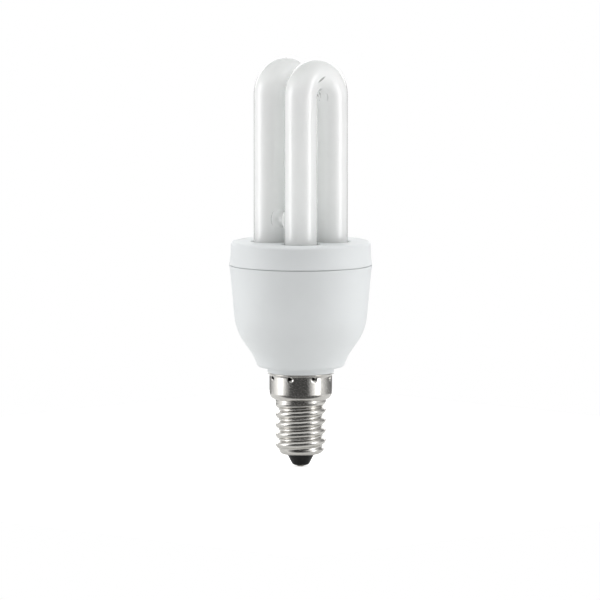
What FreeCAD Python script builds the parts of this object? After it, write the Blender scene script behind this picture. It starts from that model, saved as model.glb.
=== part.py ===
import FreeCAD, Part
import math
import os

# Compact fluorescent lamp with an E14 screw cap, in millimetres.
# The origin is the lowest point of the centre contact, and +Z runs up the axis to the tubes.

Vec = FreeCAD.Vector
UP = Vec(0, 0, 1)

# Discharge tube
tube_diameter = 9.0
leg_offset = 6.0            # each leg's axis from the lamp's middle planes
leg_showing = 40.55         # from the lid's face to the start of the arches
leg_seat = 8.05             # from the lid's face down to a leg's end
leg_end_radius = 2.6
bridge_diameter = 4.0
bridge_lift = 6.55          # above the lid's face
bridge_root = 0.7           # the flare's radius, past half the gap between the legs
bridge_sink = 0.55          # the flare runs this far into a leg's side
pinch_width = 6.6
pinch_thickness = 2.2
pinch_corner_radius = 1.0
pinch_length = 2.8
exhaust_tip_radius = 1.7
exhaust_tip_end_radius = 0.8
exhaust_tip_length = 2.0

# Seam between lid and housing
seam_width = 0.24
seam_depth = 0.45

# Lid
lid_height = 6.45
lid_flare_height = 4.2
lid_corner_radius = 0.8
lid_plate = 1.5
spigot_step = 1.1           # the spigot's face inside the lid's side
spigot_wall = 1.1
spigot_depth = 3.0
socket_clearance = 0.75     # filled by the cement
socket_wall = 1.0
socket_depth = 6.2
socket_edge_radius = 0.5
cement_recess = 1.2
cement_depth = 4.4
snap_height = 0.9
snap_depth = 0.25
snap_drop = 1.6             # middle of the snap bead below the seam
fit_clearance = 0.1

# Housing
housing_height = 28.45
housing_wall = 1.4
taper_top_radius = 19.4
taper_drop = 3.3            # the taper starts this far below the seam
taper_length = 10.9
taper_step = 1.0            # the taper's foot inside its top
rim_flare_radius = 36.0
shoulder_arc_radius = 15.2
cone_angle = math.radians(35)
foot_arc_radius = 14.0
foot_angle = math.radians(18)
foot_corner_radius = 1.3
collar_radius = 9.2
collar_height = 1.55
collar_chamfer = 0.2
neck_wall = 1.4
neck_length = 5.3
neck_chamfer = 0.5
rib_count = 6
rib_thickness = 1.2
rib_depth = 1.9
rib_length = 9.0

# Screw cap
cap_wall = 0.3
cap_rim_height = 26.2
cap_rim_radius = 9.0
cap_rim_flare_height = 0.9
skirt_radius = 8.35
skirt_height = 7.15
skirt_corner_radius = 1.45
thread_pitch = 2.822
thread_depth = 0.95
thread_major_radius = 6.7
thread_crest_height = 13.01  # a crest on the polar angle below
thread_crest_angle = 315.0
thread_start = 3.3
thread_full = 6.3
thread_merge = 1.0
bead_height = 1.2           # plain bead between the thread and the skirt
cap_top_inside = 0.6        # the threaded wall runs this far into the skirt's floor
cap_bottom_height = 3.75
cap_corner_radius = 1.15
cap_lip_radius = 3.9
stake_count = 8
stake_first_angle = 26.2
stake_drop = 1.4            # below the rim
stake_radius = 0.85
stake_offset = 0.4          # centre of the punch outside the skirt's face

# Smoothness of the threaded wall
around_count = 24
rows_per_pitch = 12
corner_rows = 6
lip_rows = 4

# Insulator and centre contact
insulator_end_radius = 2.48
insulator_end_height = 1.0
insulator_flat_radius = 1.1
insulator_fill = 1.25       # depth of glass inside the cap
insulator_well_radius = 3.0
insulator_well_height = 3.2
solder_height = 0.33
solder_radius = 1.1
solder_flat_radius = 0.45
solder_bulge_radius = 0.85
solder_bulge_height = 0.13
eyelet_radius = 0.9
eyelet_wall = 0.3
eyelet_flange_radius = 1.2
eyelet_flange = 0.2

# Circuit board
board_inset = 2.3           # the board's edge inside the taper's top
board_thickness = 1.0
board_drop = 7.8            # the board's lower face below the seam
lead_radius = 0.3
hole_clearance = 0.1
lead_end = 0.9
joint_radius = 0.95
joint_height = 0.7

# Choke, with its axis upright
choke_x = -7.2
choke_y = 0.0
core_width = 13.0
core_depth = 5.9
core_height = 12.3
core_centre_leg = 2.7
core_window_width = 10.2
core_window_height = 9.2
choke_drop = 0.5            # the core's top below the board
bobbin_wall = 0.6
bobbin_clearance = 0.15
bobbin_rail_width = 2.2
bobbin_flange_width = 10.8
winding_margin = 0.3
winding_corner = 1.2

# Ring transformer, standing on edge
ring_x = 3.8
ring_y = -7.6
ring_outer_radius = 4.75
ring_inner_radius = 2.75
ring_thickness = 4.4
ring_winding_thickness = 0.5
ring_winding_angle = 50.0
ring_winding_count = 3

# Other components: place on the board, and size
can_place = (4.6, 7.6)
can_radius = 4.0
can_height = 11.5
can_lead_pitch = 3.5
can_groove = 0.35
tube_capacitor_place = (5.7, -0.6)
tube_capacitor_size = (9.0, 4.5, 8.5)
coupling_capacitor_place = (-6.0, -10.5)
coupling_capacitor_size = (7.0, 3.4, 7.0)
film_lead_pitch_share = 0.6
film_corner = 0.8
transistor_places = ((11.8, -5.2), (11.8, 1.2))
transistor_width = 4.6
transistor_depth = 3.5
transistor_height = 4.6
transistor_drop = 2.0
transistor_lead_pitch = 1.3
diode_places = ((-9.6, 8.6), (-5.2, 8.6), (-6.6, 11.9), (-2.2, 11.9))
diode_radius = 1.3
diode_length = 5.2
trigger_place = (-0.5, -1.6)
trigger_radius = 0.9
trigger_length = 3.8
resistor_radius = 1.1
resistor_length = 6.0
resistor_end = 1.3
resistor_waist_radius = 0.93
base_resistor_places = ((10.4, -9.4), (-0.3, 2.6))
start_resistor_place = (10.7, 6.3)
fuse_resistor_place = (1.7, 13.2)
hairpin_pitch = 2.4
hairpin_bend = 1.0
hairpin_directions = {"base_resistor_1": (0, -1), "base_resistor_2": (0, 1),
                      "start_resistor": (0, 1), "fuse_resistor": (1, 0)}
standing_gap = 0.6          # between a standing component and the board

# Wires
wrap_pin_places = ((8.6, -11.9), (13.6, -7.8), (13.6, 7.8), (8.6, 11.9))
wrap_pin_side = 0.64
wrap_pin_height = 4.6
wrap_radius = 0.85
wrap_height = 1.6
wrap_lift = 0.9
pinch_lead_pitch = 3.0
tube_lead_radius = 0.25
tube_lead_bend = 0.5
supply_wire_radius = 0.4
supply_wire_bend = 1.4
supply_wire_straight = 13.4     # past the choke, then slanting in to the neck
phase_wire_place = (-0.6, -13.2)
neutral_wire_place = (-11.4, 6.9)
neutral_slot_angle = 138.7
neutral_wire_reach = 2.7    # up between the neck and the skirt
neutral_wire_turn = 0.6     # below the neck's end
neutral_wire_bend = 0.8

# Heights that follow from these
housing_bottom_height = cap_rim_height + collar_height
seam_height = housing_bottom_height + housing_height
taper_top_height = seam_height - taper_drop
taper_bottom_height = taper_top_height - taper_length
lid_top_height = seam_height + lid_height
leg_end_height = lid_top_height - leg_seat
arch_spring_height = lid_top_height + leg_showing
bridge_height = lid_top_height + bridge_lift
skirt_bottom_height = cap_rim_height - skirt_height
neck_end_height = cap_rim_height - neck_length
stake_height = cap_rim_height - stake_drop
thread_end = skirt_bottom_height - bead_height
insulator_top_height = cap_bottom_height + insulator_fill
board_bottom_height = seam_height - board_drop
board_top_height = board_bottom_height + board_thickness
supply_wire_slant_top = board_bottom_height - supply_wire_straight
neutral_wire_top = neck_end_height + neutral_wire_reach

# Radii that follow from these
tube_radius = tube_diameter / 2
socket_radius = tube_radius + socket_clearance
lid_side_radius = taper_top_radius
spigot_radius = taper_top_radius - spigot_step
taper_bottom_radius = taper_top_radius - taper_step
board_radius = taper_top_radius - board_inset
skirt_inside = skirt_radius - cap_wall
neck_bore = skirt_inside - neck_wall
thread_minor_radius = thread_major_radius - thread_depth
thread_arc_radius = (thread_depth ** 2 + (thread_pitch / 2) ** 2) / (4 * thread_depth)
legs = {
    "front": (-leg_offset, -leg_offset),
    "right": (leg_offset, -leg_offset),
    "left": (-leg_offset, leg_offset),
    "back": (leg_offset, leg_offset),
}

# Smallest step between two points of an outline, or between the two heights of an upright edge's ends
touching = 1e-7


def point(pair):
    """A place in the lamp's section plane, from its radius and height."""
    return Vec(pair[0], 0, pair[1])


def arc(centre, radius, start, end):
    """Three points of an arc about a centre in the section plane, angles in radians."""
    angles = (start, (start + end) / 2, end)
    return tuple((centre[0] + radius * math.cos(a), centre[1] + radius * math.sin(a)) for a in angles)


def section(*steps):
    """Closed face in the section plane; each step is a point or an arc's three points."""
    edges = []
    first = last = None
    for step in steps:
        start = step if len(step) == 2 else step[0]
        end = step if len(step) == 2 else step[2]
        if last is not None and point(last).distanceToPoint(point(start)) > touching:
            edges.append(Part.makeLine(point(last), point(start)))
        if len(step) == 3:
            edges.append(Part.Arc(*[point(p) for p in step]).toShape())
        first = first or start
        last = end
    if point(last).distanceToPoint(point(first)) > touching:
        edges.append(Part.makeLine(point(last), point(first)))
    return Part.Face(Part.Wire(edges))


def turned(*steps):
    """Solid of revolution about the lamp's axis."""
    return section(*steps).revolve(Vec(0, 0, 0), UP, 360)


def disc(radius, low, high, place=(0, 0)):
    """Upright cylinder between two heights."""
    return Part.makeCylinder(radius, high - low, Vec(place[0], place[1], low))


def block(size, centre, low):
    """Upright box about a place in plan, from its lowest height."""
    corner = Vec(centre[0] - size[0] / 2, centre[1] - size[1] / 2, low)
    return Part.makeBox(size[0], size[1], size[2], corner)


def round_uprights(solid, radius):
    """The solid with its upright edges rounded."""
    edges = [e for e in solid.Edges if abs(e.Vertexes[0].Z - e.Vertexes[-1].Z) > touching]
    return solid.makeFillet(radius, edges)


def joined(solids):
    """One solid from overlapping ones."""
    return solids[0].multiFuse(solids[1:]).removeSplitter()


def around(solid, count, first=0.0):
    """Copies of a solid at equal steps about the axis."""
    copies = []
    for index in range(count):
        copy = solid.copy()
        copy.rotate(Vec(0, 0, 0), UP, first + index * 360 / count)
        copies.append(copy)
    return copies


def rod(points, radius, bend):
    """Round wire along straight runs joined by tangent arcs."""
    points = [Vec(*p) for p in points]
    edges = []
    start = points[0]
    for before, corner, after in zip(points, points[1:], points[2:]):
        back = (before - corner).normalize()
        ahead = (after - corner).normalize()
        half = back.getAngle(ahead) / 2
        reach = bend / math.tan(half)
        middle = (back + ahead).normalize() * (bend / math.sin(half) - bend)
        into = corner + back * reach
        out = corner + ahead * reach
        edges.append(Part.makeLine(start, into))
        edges.append(Part.Arc(into, corner + middle, out).toShape())
        start = out
    edges.append(Part.makeLine(start, points[-1]))
    ring = Part.Wire(Part.makeCircle(radius, points[0], points[1] - points[0]))
    return Part.Wire(edges).makePipeShell([ring], True, True)


def smooth_step(value):
    """0 below 0, 1 above 1, and a smooth rise between."""
    value = min(max(value, 0.0), 1.0)
    return value * value * (3 - 2 * value)


def save(name, shape):
    shape.exportStep("parts/" + name + ".step")


def u_tube(y):
    """One U: two legs and the arch above them, in the plane of the given y."""
    height = arch_spring_height - leg_end_height
    leg = disc(tube_radius, leg_end_height, arch_spring_height)
    bottom = [e for e in leg.Edges if e.BoundBox.ZMax < leg_end_height + height / 2]
    leg = leg.makeFillet(leg_end_radius, [e for e in bottom if e.BoundBox.ZLength < height / 2])
    ring = Part.Wire(Part.makeCircle(tube_radius, Vec(leg_offset, 0, 0), UP))
    arch = Part.Face(ring).revolve(Vec(0, 0, 0), Vec(0, -1, 0), 180)
    arch.translate(Vec(0, 0, arch_spring_height))
    left = leg.translated(Vec(-leg_offset, 0, 0))
    right = leg.translated(Vec(leg_offset, 0, 0))
    return joined([left, arch, right]).translated(Vec(0, y, 0))


def tube_bridge():
    """Short glass tube between the front and left legs, flared where it is fused to them."""
    waist = bridge_diameter / 2
    half_gap = leg_offset - tube_radius
    flare = half_gap + bridge_root
    half = half_gap + bridge_sink
    tilt = math.asin(half / flare)
    outer = waist + flare * (1 - math.cos(tilt))
    body = turned((0, -leg_offset), (waist, -leg_offset), (waist, -half - waist), (outer, -half),
                  arc((waist + flare, 0), flare, math.pi + tilt, math.pi - tilt),
                  (waist, half + waist), (waist, leg_offset), (0, leg_offset))
    body.rotate(Vec(0, 0, 0), Vec(1, 0, 0), 90)
    return body.translated(Vec(-leg_offset, 0, bridge_height))


def pinch(place):
    """Flattened sealed end of a leg, where the two leads come out."""
    low = leg_end_height - pinch_length
    height = pinch_length + leg_end_radius
    blade = block((pinch_width, pinch_thickness, height), place, low)
    return round_uprights(blade, pinch_corner_radius)


def exhaust_tip(place):
    """Sealed stub of the pumping stem on a leg without an electrode."""
    low = leg_end_height - exhaust_tip_length
    cone = Part.makeCone(exhaust_tip_end_radius, exhaust_tip_radius, exhaust_tip_length,
                         Vec(place[0], place[1], low))
    root = disc(exhaust_tip_radius, leg_end_height, leg_end_height + leg_end_radius, place)
    return cone.fuse(root)


def discharge_tube():
    solids = [u_tube(-leg_offset), u_tube(leg_offset), tube_bridge()]
    solids += [pinch(legs["right"]), pinch(legs["back"])]
    solids += [exhaust_tip(legs["front"]), exhaust_tip(legs["left"])]
    return joined(solids)


def outward(angle):
    """Unit normal of a wall that leans out by an angle from upright, as it goes up."""
    return math.cos(angle), -math.sin(angle)


def moved(pair, direction, distance):
    return pair[0] + direction[0] * distance, pair[1] + direction[1] * distance


def housing_side(inset):
    """The housing's side from its foot to its rim, moved in by an inset, as steps."""
    lean = math.atan((taper_top_radius - taper_bottom_radius)
                     / (taper_top_height - taper_bottom_height))
    shoulder = moved((taper_bottom_radius, taper_bottom_height), outward(lean), -shoulder_arc_radius)
    cone_top = moved(shoulder, outward(cone_angle), shoulder_arc_radius)
    foot_height = housing_bottom_height + foot_corner_radius * (1 - math.sin(foot_angle))
    arc_rise = foot_arc_radius * (math.sin(cone_angle) - math.sin(foot_angle))
    drop = cone_top[1] - foot_height - arc_rise
    cone_end = (cone_top[0] - drop * math.tan(cone_angle), cone_top[1] - drop)
    foot = moved(cone_end, outward(cone_angle), foot_arc_radius)
    rim = moved((taper_top_radius, taper_top_height), outward(lean), rim_flare_radius)
    rim_lean = math.asin(math.sin(lean) + (seam_height - taper_top_height) / rim_flare_radius)
    return [
        arc(foot, foot_arc_radius + inset, math.pi - foot_angle, math.pi - cone_angle),
        arc(shoulder, shoulder_arc_radius - inset, -cone_angle, -lean),
        arc(rim, rim_flare_radius + inset, math.pi - lean, math.pi - rim_lean),
    ]


def rim_radius():
    """Radius of both mouldings where they meet at the seam."""
    return housing_side(0)[-1][2][0]


def seam_groove():
    """Shadow gap all round between the lid and the housing."""
    outside = rim_radius() + seam_depth
    inside = rim_radius() - seam_depth
    half = seam_width / 2
    return turned((inside, seam_height - half), (outside, seam_height - half),
                  (outside, seam_height + half), (inside, seam_height + half))


def snap_ring(extra):
    """Ring of the snap bead, or of its groove when it is made larger."""
    middle = seam_height - snap_drop
    half = snap_height / 2 + extra
    inside = spigot_radius - snap_depth
    outside = spigot_radius + snap_depth + extra
    return turned((inside, middle - half - snap_depth), (outside, middle - half / 2),
                  (outside, middle + half / 2), (inside, middle + half + snap_depth))


def tube_lid():
    flare = rim_radius() - lid_side_radius
    flare_radius = (lid_flare_height ** 2 + flare ** 2) / (2 * flare)
    flare_centre = (lid_side_radius + flare_radius, seam_height + lid_flare_height)
    flare_angle = math.asin(lid_flare_height / flare_radius)
    corner = (lid_side_radius - lid_corner_radius, lid_top_height - lid_corner_radius)
    bottom = seam_height - spigot_depth
    plate_bottom = lid_top_height - lid_plate
    inside = spigot_radius - spigot_wall
    lid = turned((inside, bottom), (spigot_radius, bottom), (spigot_radius, seam_height),
                 arc(flare_centre, flare_radius, math.pi + flare_angle, math.pi),
                 arc(corner, lid_corner_radius, 0, math.pi / 2),
                 (0, lid_top_height), (0, plate_bottom), (inside, plate_bottom))
    socket_bottom = lid_top_height - socket_depth
    socket_top = lid_top_height - lid_plate / 2
    sockets = [disc(socket_radius + socket_wall, socket_bottom, socket_top, place) for place in legs.values()]
    lid = joined([lid, snap_ring(0)] + sockets)
    edge = socket_edge_radius
    mouth = section((0, 0), (socket_radius, 0), (socket_radius, socket_depth - edge),
                    arc((socket_radius + edge, socket_depth - edge), edge, math.pi, math.pi / 2),
                    (socket_radius + edge, socket_depth + edge), (0, socket_depth + edge))
    mouth = mouth.revolve(Vec(0, 0, 0), UP, 360).translated(Vec(0, 0, lid_top_height - socket_depth))
    cuts = [mouth.translated(Vec(place[0], place[1], 0)) for place in legs.values()]
    return lid.cut(cuts).cut(seam_groove())


def cement_ring(place):
    """Cement between a leg and its socket, a little below the lid's face."""
    top = lid_top_height - cement_recess
    ring = disc(socket_radius, top - cement_depth, top, place)
    return ring.cut(disc(tube_radius, top - cement_depth, top, place))


def housing_ribs(cavity):
    """Ribs on the inside wall that carry the board."""
    inner = board_radius - rib_depth + fit_clearance
    bar = Part.makeBox(taper_top_radius, rib_thickness, rib_length,
                       Vec(inner, -rib_thickness / 2, board_bottom_height - rib_length))
    return [rib.common(cavity) for rib in around(bar, rib_count)]


def housing():
    foot, shoulder, rim = housing_side(0)
    corner = (foot[0][0] - foot_corner_radius * math.cos(foot_angle),
              housing_bottom_height + foot_corner_radius)
    collar_bottom = cap_rim_height
    outside = turned((0, neck_end_height), (skirt_inside - neck_chamfer, neck_end_height),
                     (skirt_inside, neck_end_height + neck_chamfer), (skirt_inside, collar_bottom),
                     (collar_radius - collar_chamfer, collar_bottom),
                     (collar_radius, collar_bottom + collar_chamfer),
                     (collar_radius, housing_bottom_height),
                     arc(corner, foot_corner_radius, -math.pi / 2, -foot_angle),
                     foot, shoulder, rim, (0, rim[2][1]))
    floor = housing_bottom_height + housing_wall
    foot, shoulder, rim = housing_side(housing_wall)
    low = foot[0][1] - housing_wall
    top = rim[2][1] + housing_wall
    cavity = turned((0, low), (foot[0][0], low), foot, shoulder, rim, (rim[2][0], top), (0, top))
    cavity = cavity.common(disc(lid_side_radius, floor, top))
    seat = seam_height - spigot_depth - fit_clearance
    spigot_bore = disc(spigot_radius + fit_clearance, seat, top)
    bore = disc(neck_bore, neck_end_height, floor)
    body = outside.cut([cavity, spigot_bore, bore, snap_ring(fit_clearance), seam_groove()])
    body = joined([body] + housing_ribs(cavity))
    slot = neutral_slot()
    return body.cut(stake_balls(stake_radius + cap_wall) + [slot])


def neutral_slot():
    """Groove down the neck's side for the bare end of the neutral wire."""
    place = polar(skirt_inside - supply_wire_radius, neutral_slot_angle)
    top = neutral_wire_top + fit_clearance
    groove = disc(supply_wire_radius + fit_clearance, neck_end_height, top, place)
    mouth = disc(supply_wire_radius + fit_clearance, neck_end_height, top,
                 polar(skirt_inside, neutral_slot_angle))
    return groove.fuse(mouth)


def polar(radius, angle):
    """Place in plan at a radius and an angle in degrees."""
    return radius * math.cos(math.radians(angle)), radius * math.sin(math.radians(angle))


def thread_radius(angle, height, inset):
    """Radius of the rolled thread's wall; both faces are tangent arcs about the same centres."""
    turns = (height - thread_crest_height) / thread_pitch - (angle - thread_crest_angle) / 360
    from_crest = abs(turns - round(turns)) * thread_pitch
    flank_share = thread_pitch / 4 / thread_arc_radius
    crest_radius = thread_arc_radius - inset
    root_radius = thread_arc_radius + inset
    if from_crest < crest_radius * flank_share:
        rise = thread_depth - thread_arc_radius + math.sqrt(crest_radius ** 2 - from_crest ** 2)
    else:
        from_root = thread_pitch / 2 - from_crest
        rise = thread_arc_radius - math.sqrt(root_radius ** 2 - from_root ** 2)
    start = smooth_step((height - thread_start) / (thread_full - thread_start))
    end = smooth_step((height - thread_end + thread_merge) / thread_merge)
    wall = thread_minor_radius + (rise + inset) * start / row_shrink() - inset
    return wall * (1 - end) + (thread_major_radius - inset) * end


def row_shrink():
    """How far a smooth surface falls short of a wave of its own control points."""
    return 2 / 3 + math.cos(2 * math.pi / rows_per_pitch) / 3


def threaded_body(inset):
    """Body inside the threaded wall's face: lip, rounded corner, thread and plain bead."""
    corner_radius = cap_corner_radius - inset
    centre_radius = thread_minor_radius - cap_corner_radius
    centre_height = cap_bottom_height + cap_corner_radius
    start = cap_lip_radius / 2
    rows = []
    for index in range(lip_rows):
        radius = start + (centre_radius - start) * index / lip_rows
        rows.append((radius, cap_bottom_height + inset))
    for index in range(corner_rows + 1):
        angle = math.pi / 2 * (index / corner_rows - 1)
        rows.append((centre_radius + corner_radius * math.cos(angle),
                     centre_height + corner_radius * math.sin(angle)))
    step = thread_pitch / rows_per_pitch
    top = skirt_bottom_height + cap_top_inside + cap_wall
    count = math.ceil((top - centre_height) / step)
    for index in range(count):
        height = centre_height + (top - centre_height) * (index + 1) / count
        rows.append((thread_minor_radius - inset, height))
    swell = 1 / (2 / 3 + math.cos(2 * math.pi / around_count) / 3)
    poles = []
    for index in range(around_count):
        angle = 360 * index / around_count
        line = []
        for radius, height in rows:
            bulge = thread_radius(angle, height, inset) - (thread_minor_radius - inset)
            x, y = polar((radius + bulge) * swell, angle)
            line.append(Vec(x, y, height))
        poles.append(line)
    surface = Part.BSplineSurface()
    row_knots = len(rows) - 2
    surface.buildFromPolesMultsKnots(
        poles, [1] * (around_count + 1), [4] + [1] * (row_knots - 2) + [4],
        list(range(around_count + 1)), list(range(row_knots)), True, False, 3, 3)
    wall = surface.toShape()
    rings = [e for e in wall.Edges if e.BoundBox.ZLength < cap_wall]
    skin = Part.makeCompound([wall] + [Part.Face(Part.Wire(e)) for e in rings])
    skin.sewShape()
    return Part.Solid(skin.Shells[0])


def skirt_body(inset):
    """Body inside the skirt's face: floor, rounded corner, straight side and flared rim."""
    low = skirt_bottom_height + inset
    radius = skirt_radius - inset
    corner = (skirt_radius - skirt_corner_radius, skirt_bottom_height + skirt_corner_radius)
    spread = cap_rim_radius - skirt_radius
    flare = (cap_rim_flare_height ** 2 + spread ** 2) / (2 * spread)
    flare_centre = (skirt_radius + flare, cap_rim_height - cap_rim_flare_height)
    flare_angle = math.asin(cap_rim_flare_height / (flare + inset))
    return turned((0, low), arc(corner, skirt_corner_radius - inset, -math.pi / 2, 0),
                  (radius, flare_centre[1]),
                  arc(flare_centre, flare + inset, math.pi, math.pi - flare_angle),
                  (0, cap_rim_height))


def stake_balls(radius):
    """Balls at the punch marks round the skirt."""
    ball = Part.makeSphere(radius, Vec(skirt_radius + stake_offset, 0, stake_height))
    return around(ball, stake_count, stake_first_angle)


def cap_inside():
    """The space inside the cap's thin wall."""
    return threaded_body(cap_wall).fuse(skirt_body(cap_wall))


def cap_shell(inside):
    outside = threaded_body(0).fuse(skirt_body(0))
    drop = cap_bottom_height + cap_wall
    lip_hole = disc(cap_lip_radius - cap_wall, 0, drop + cap_wall)
    wall = outside.cut(inside).cut(lip_hole)
    skirt = disc(skirt_radius, stake_height - 2 * stake_radius - cap_wall, stake_height + 2 * stake_radius)
    bumps = [ball.common(skirt) for ball in stake_balls(stake_radius + cap_wall)]
    return joined([wall] + bumps).cut(stake_balls(stake_radius))


def cap_insulator(inside):
    """Black glass that fills the cap's end round the centre contact."""
    lip = cap_lip_radius - cap_wall
    shell_floor = cap_bottom_height + cap_wall
    plug = inside.common(disc(skirt_radius, shell_floor, insulator_top_height))
    rounding = insulator_end_radius - insulator_flat_radius
    rise = insulator_end_height - solder_height
    nose = turned((0, solder_height), (insulator_flat_radius, solder_height),
                  ((insulator_flat_radius, solder_height),
                   (insulator_flat_radius + rounding * math.sin(math.pi / 4),
                    solder_height + rise * (1 - math.cos(math.pi / 4))),
                   (insulator_end_radius, insulator_end_height)),
                  (cap_lip_radius, cap_bottom_height), (lip, cap_bottom_height),
                  (lip, shell_floor + cap_wall), (0, shell_floor + cap_wall))
    well = Part.makeCone(eyelet_radius, insulator_well_radius, insulator_top_height - insulator_well_height,
                         Vec(0, 0, insulator_well_height))
    glass = plug.fuse(nose).cut(well)
    return glass.cut(eyelet_outside())


def eyelet_outside():
    flange_top = solder_height + eyelet_flange
    return turned((0, solder_height), (eyelet_flange_radius, solder_height),
                  (eyelet_flange_radius, flange_top), (eyelet_radius, flange_top),
                  (eyelet_radius, insulator_well_height), (0, insulator_well_height))


def contact_eyelet():
    bore = disc(eyelet_radius - eyelet_wall, 0, insulator_well_height)
    return eyelet_outside().cut(bore)


def contact_solder():
    """Solder in the eyelet's bore and the flattened bead under it."""
    bulge = (solder_bulge_radius, solder_bulge_height)
    bore = eyelet_radius - eyelet_wall
    bead = turned((0, 0), (solder_flat_radius, 0),
                  ((solder_flat_radius, 0), bulge, (solder_radius, solder_height)),
                  (bore, solder_height), (bore, insulator_well_height), (0, insulator_well_height))
    return bead.cut(phase_wire())


def lead(place, low):
    """Component lead from a height up through the board."""
    return disc(lead_radius, low, board_top_height + lead_end, place)


def standing(place, radius, length, direction):
    """Leads of a component that stands on end: one straight up, one bent over beside it."""
    top = board_bottom_height - standing_gap
    low = top - length
    turn = hairpin_pitch / 2
    far = (place[0] + direction[0] * hairpin_pitch, place[1] + direction[1] * hairpin_pitch)
    end = low - turn * 2
    path = [(place[0], place[1], low), (place[0], place[1], end), (far[0], far[1], end),
            (far[0], far[1], board_top_height + lead_end)]
    return [lead(place, top), rod(path, lead_radius, hairpin_bend)], [place, far]


def capsule(place, radius, length):
    """Plain moulded body of a diode."""
    high = board_bottom_height - standing_gap
    return disc(radius, high - length, high, place)


def resistor_body(place):
    """Dipped resistor: two round end caps and a thinner middle."""
    high = board_bottom_height - standing_gap
    waist = disc(resistor_waist_radius, high - resistor_length, high, place)
    upper = disc(resistor_radius, high - resistor_end, high, place)
    lower = disc(resistor_radius, high - resistor_length, high - resistor_length + resistor_end, place)
    return joined([waist, upper, lower])


def film_capacitor(place, size):
    body = block(size, place, board_bottom_height - size[2])
    body = round_uprights(body, film_corner)
    reach = size[0] * film_lead_pitch_share / 2
    holes = [(place[0] - reach, place[1]), (place[0] + reach, place[1])]
    pins = [lead(hole, board_bottom_height - film_corner) for hole in holes]
    return joined([body] + pins), holes


def filter_capacitor():
    """Electrolytic can with its crimped neck at the board and its rounded end below."""
    low = -can_height
    edge = can_groove
    body = turned((0, low), arc((can_radius - edge, low + edge), edge, -math.pi / 2, 0),
                  (can_radius, -4 * edge), (can_radius - edge, -3 * edge),
                  (can_radius, -2 * edge), (can_radius, 0), (0, 0))
    body = body.translated(Vec(can_place[0], can_place[1], board_bottom_height))
    reach = can_lead_pitch / 2
    holes = [(can_place[0] - reach, can_place[1]), (can_place[0] + reach, can_place[1])]
    return joined([body] + [lead(hole, board_bottom_height - edge) for hole in holes]), holes


def transistor(place):
    """Small transistor: a round body with one flat side, on three leads."""
    high = board_bottom_height - transistor_drop
    low = high - transistor_height
    body = disc(transistor_width / 2, low, high, place)
    flat = transistor_depth - transistor_width / 2
    body = body.common(block((transistor_width, 2 * transistor_width, transistor_height),
                             (place[0] + transistor_width / 2 - flat, place[1]), low))
    holes = [(place[0], place[1] + offset * transistor_lead_pitch) for offset in (-1, 0, 1)]
    return joined([body] + [lead(hole, high - lead_radius) for hole in holes]), holes


def choke_core(side):
    """One half of the ferrite core: a back, two outer legs and a centre leg."""
    top = board_bottom_height - choke_drop
    middle = top - core_height / 2
    half = core_height / 2
    place = (choke_x, choke_y)
    low = middle if side > 0 else middle - half
    core = block((core_depth, core_width, half), place, low)
    window = block((core_depth, core_window_width, core_window_height), place,
                   middle - core_window_height / 2)
    leg = block((core_depth, core_centre_leg, half), place, low)
    return core.cut(window).fuse(leg).removeSplitter()


def bobbin_sizes():
    """Tube and flange of the choke's bobbin, in plan, round the centre leg."""
    grow = 2 * (bobbin_clearance + bobbin_wall)
    tube = (core_depth + grow, core_centre_leg + grow)
    across = core_window_width - 2 * bobbin_clearance
    flange = (bobbin_flange_width, across)
    return tube, flange


def choke_pin_places():
    tube, flange = bobbin_sizes()
    reach_x = flange[0] / 2 - bobbin_rail_width / 2
    reach_y = flange[1] / 2 - bobbin_rail_width / 2
    return [(choke_x + sx * reach_x, choke_y + sy * reach_y) for sx in (-1, 1) for sy in (-1, 1)]


def choke_bobbin():
    """Bobbin: a square tube, two flanges, and two rails that stand on the board."""
    tube, flange = bobbin_sizes()
    place = (choke_x, choke_y)
    middle = board_bottom_height - choke_drop - core_height / 2
    height = core_window_height - 2 * bobbin_clearance
    low = middle - height / 2
    high = middle + height / 2
    hole = (core_depth + 2 * bobbin_clearance, core_centre_leg + 2 * bobbin_clearance)
    solids = [block((tube[0], tube[1], height), place, low),
              block((flange[0], flange[1], bobbin_wall), place, low),
              block((flange[0], flange[1], bobbin_wall), place, high - bobbin_wall)]
    reach = flange[0] / 2 - bobbin_rail_width / 2
    for side in (-1, 1):
        size = (bobbin_rail_width, flange[1], board_bottom_height - high + bobbin_wall)
        solids.append(block(size, (choke_x + side * reach, choke_y), high - bobbin_wall))
    body = joined(solids).cut(block((hole[0], hole[1], height), place, low))
    return body.cut([disc(lead_radius, high, board_bottom_height, p) for p in choke_pin_places()])


def choke_winding():
    tube, flange = bobbin_sizes()
    place = (choke_x, choke_y)
    middle = board_bottom_height - choke_drop - core_height / 2
    height = core_window_height - 2 * bobbin_clearance - 2 * bobbin_wall
    size = (flange[0] - 2 * winding_margin, flange[1] - 2 * winding_margin, height)
    coil = round_uprights(block(size, place, middle - height / 2), winding_corner)
    return coil.cut(block((tube[0], tube[1], height), place, middle - height / 2))


def choke_pins():
    high = board_bottom_height - choke_drop - core_height / 2 + core_window_height / 2 - bobbin_clearance
    return Part.Compound([lead(place, high) for place in choke_pin_places()])


def ring_height():
    """Height of the ring transformer's axis."""
    return board_bottom_height - ring_outer_radius - ring_winding_thickness


def ring_piece(inner, outer, thickness, angle, first):
    """Part of a ring about a level axis along Y."""
    half = thickness / 2
    face = section((inner, -half), (outer, -half), (outer, half), (inner, half))
    body = face.revolve(Vec(0, 0, 0), UP, angle)
    body.rotate(Vec(0, 0, 0), UP, first)
    body.rotate(Vec(0, 0, 0), Vec(1, 0, 0), 90)
    return body.translated(Vec(ring_x, ring_y, ring_height()))


def feedback_core():
    return ring_piece(ring_inner_radius, ring_outer_radius, ring_thickness, 360, 0)


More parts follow.
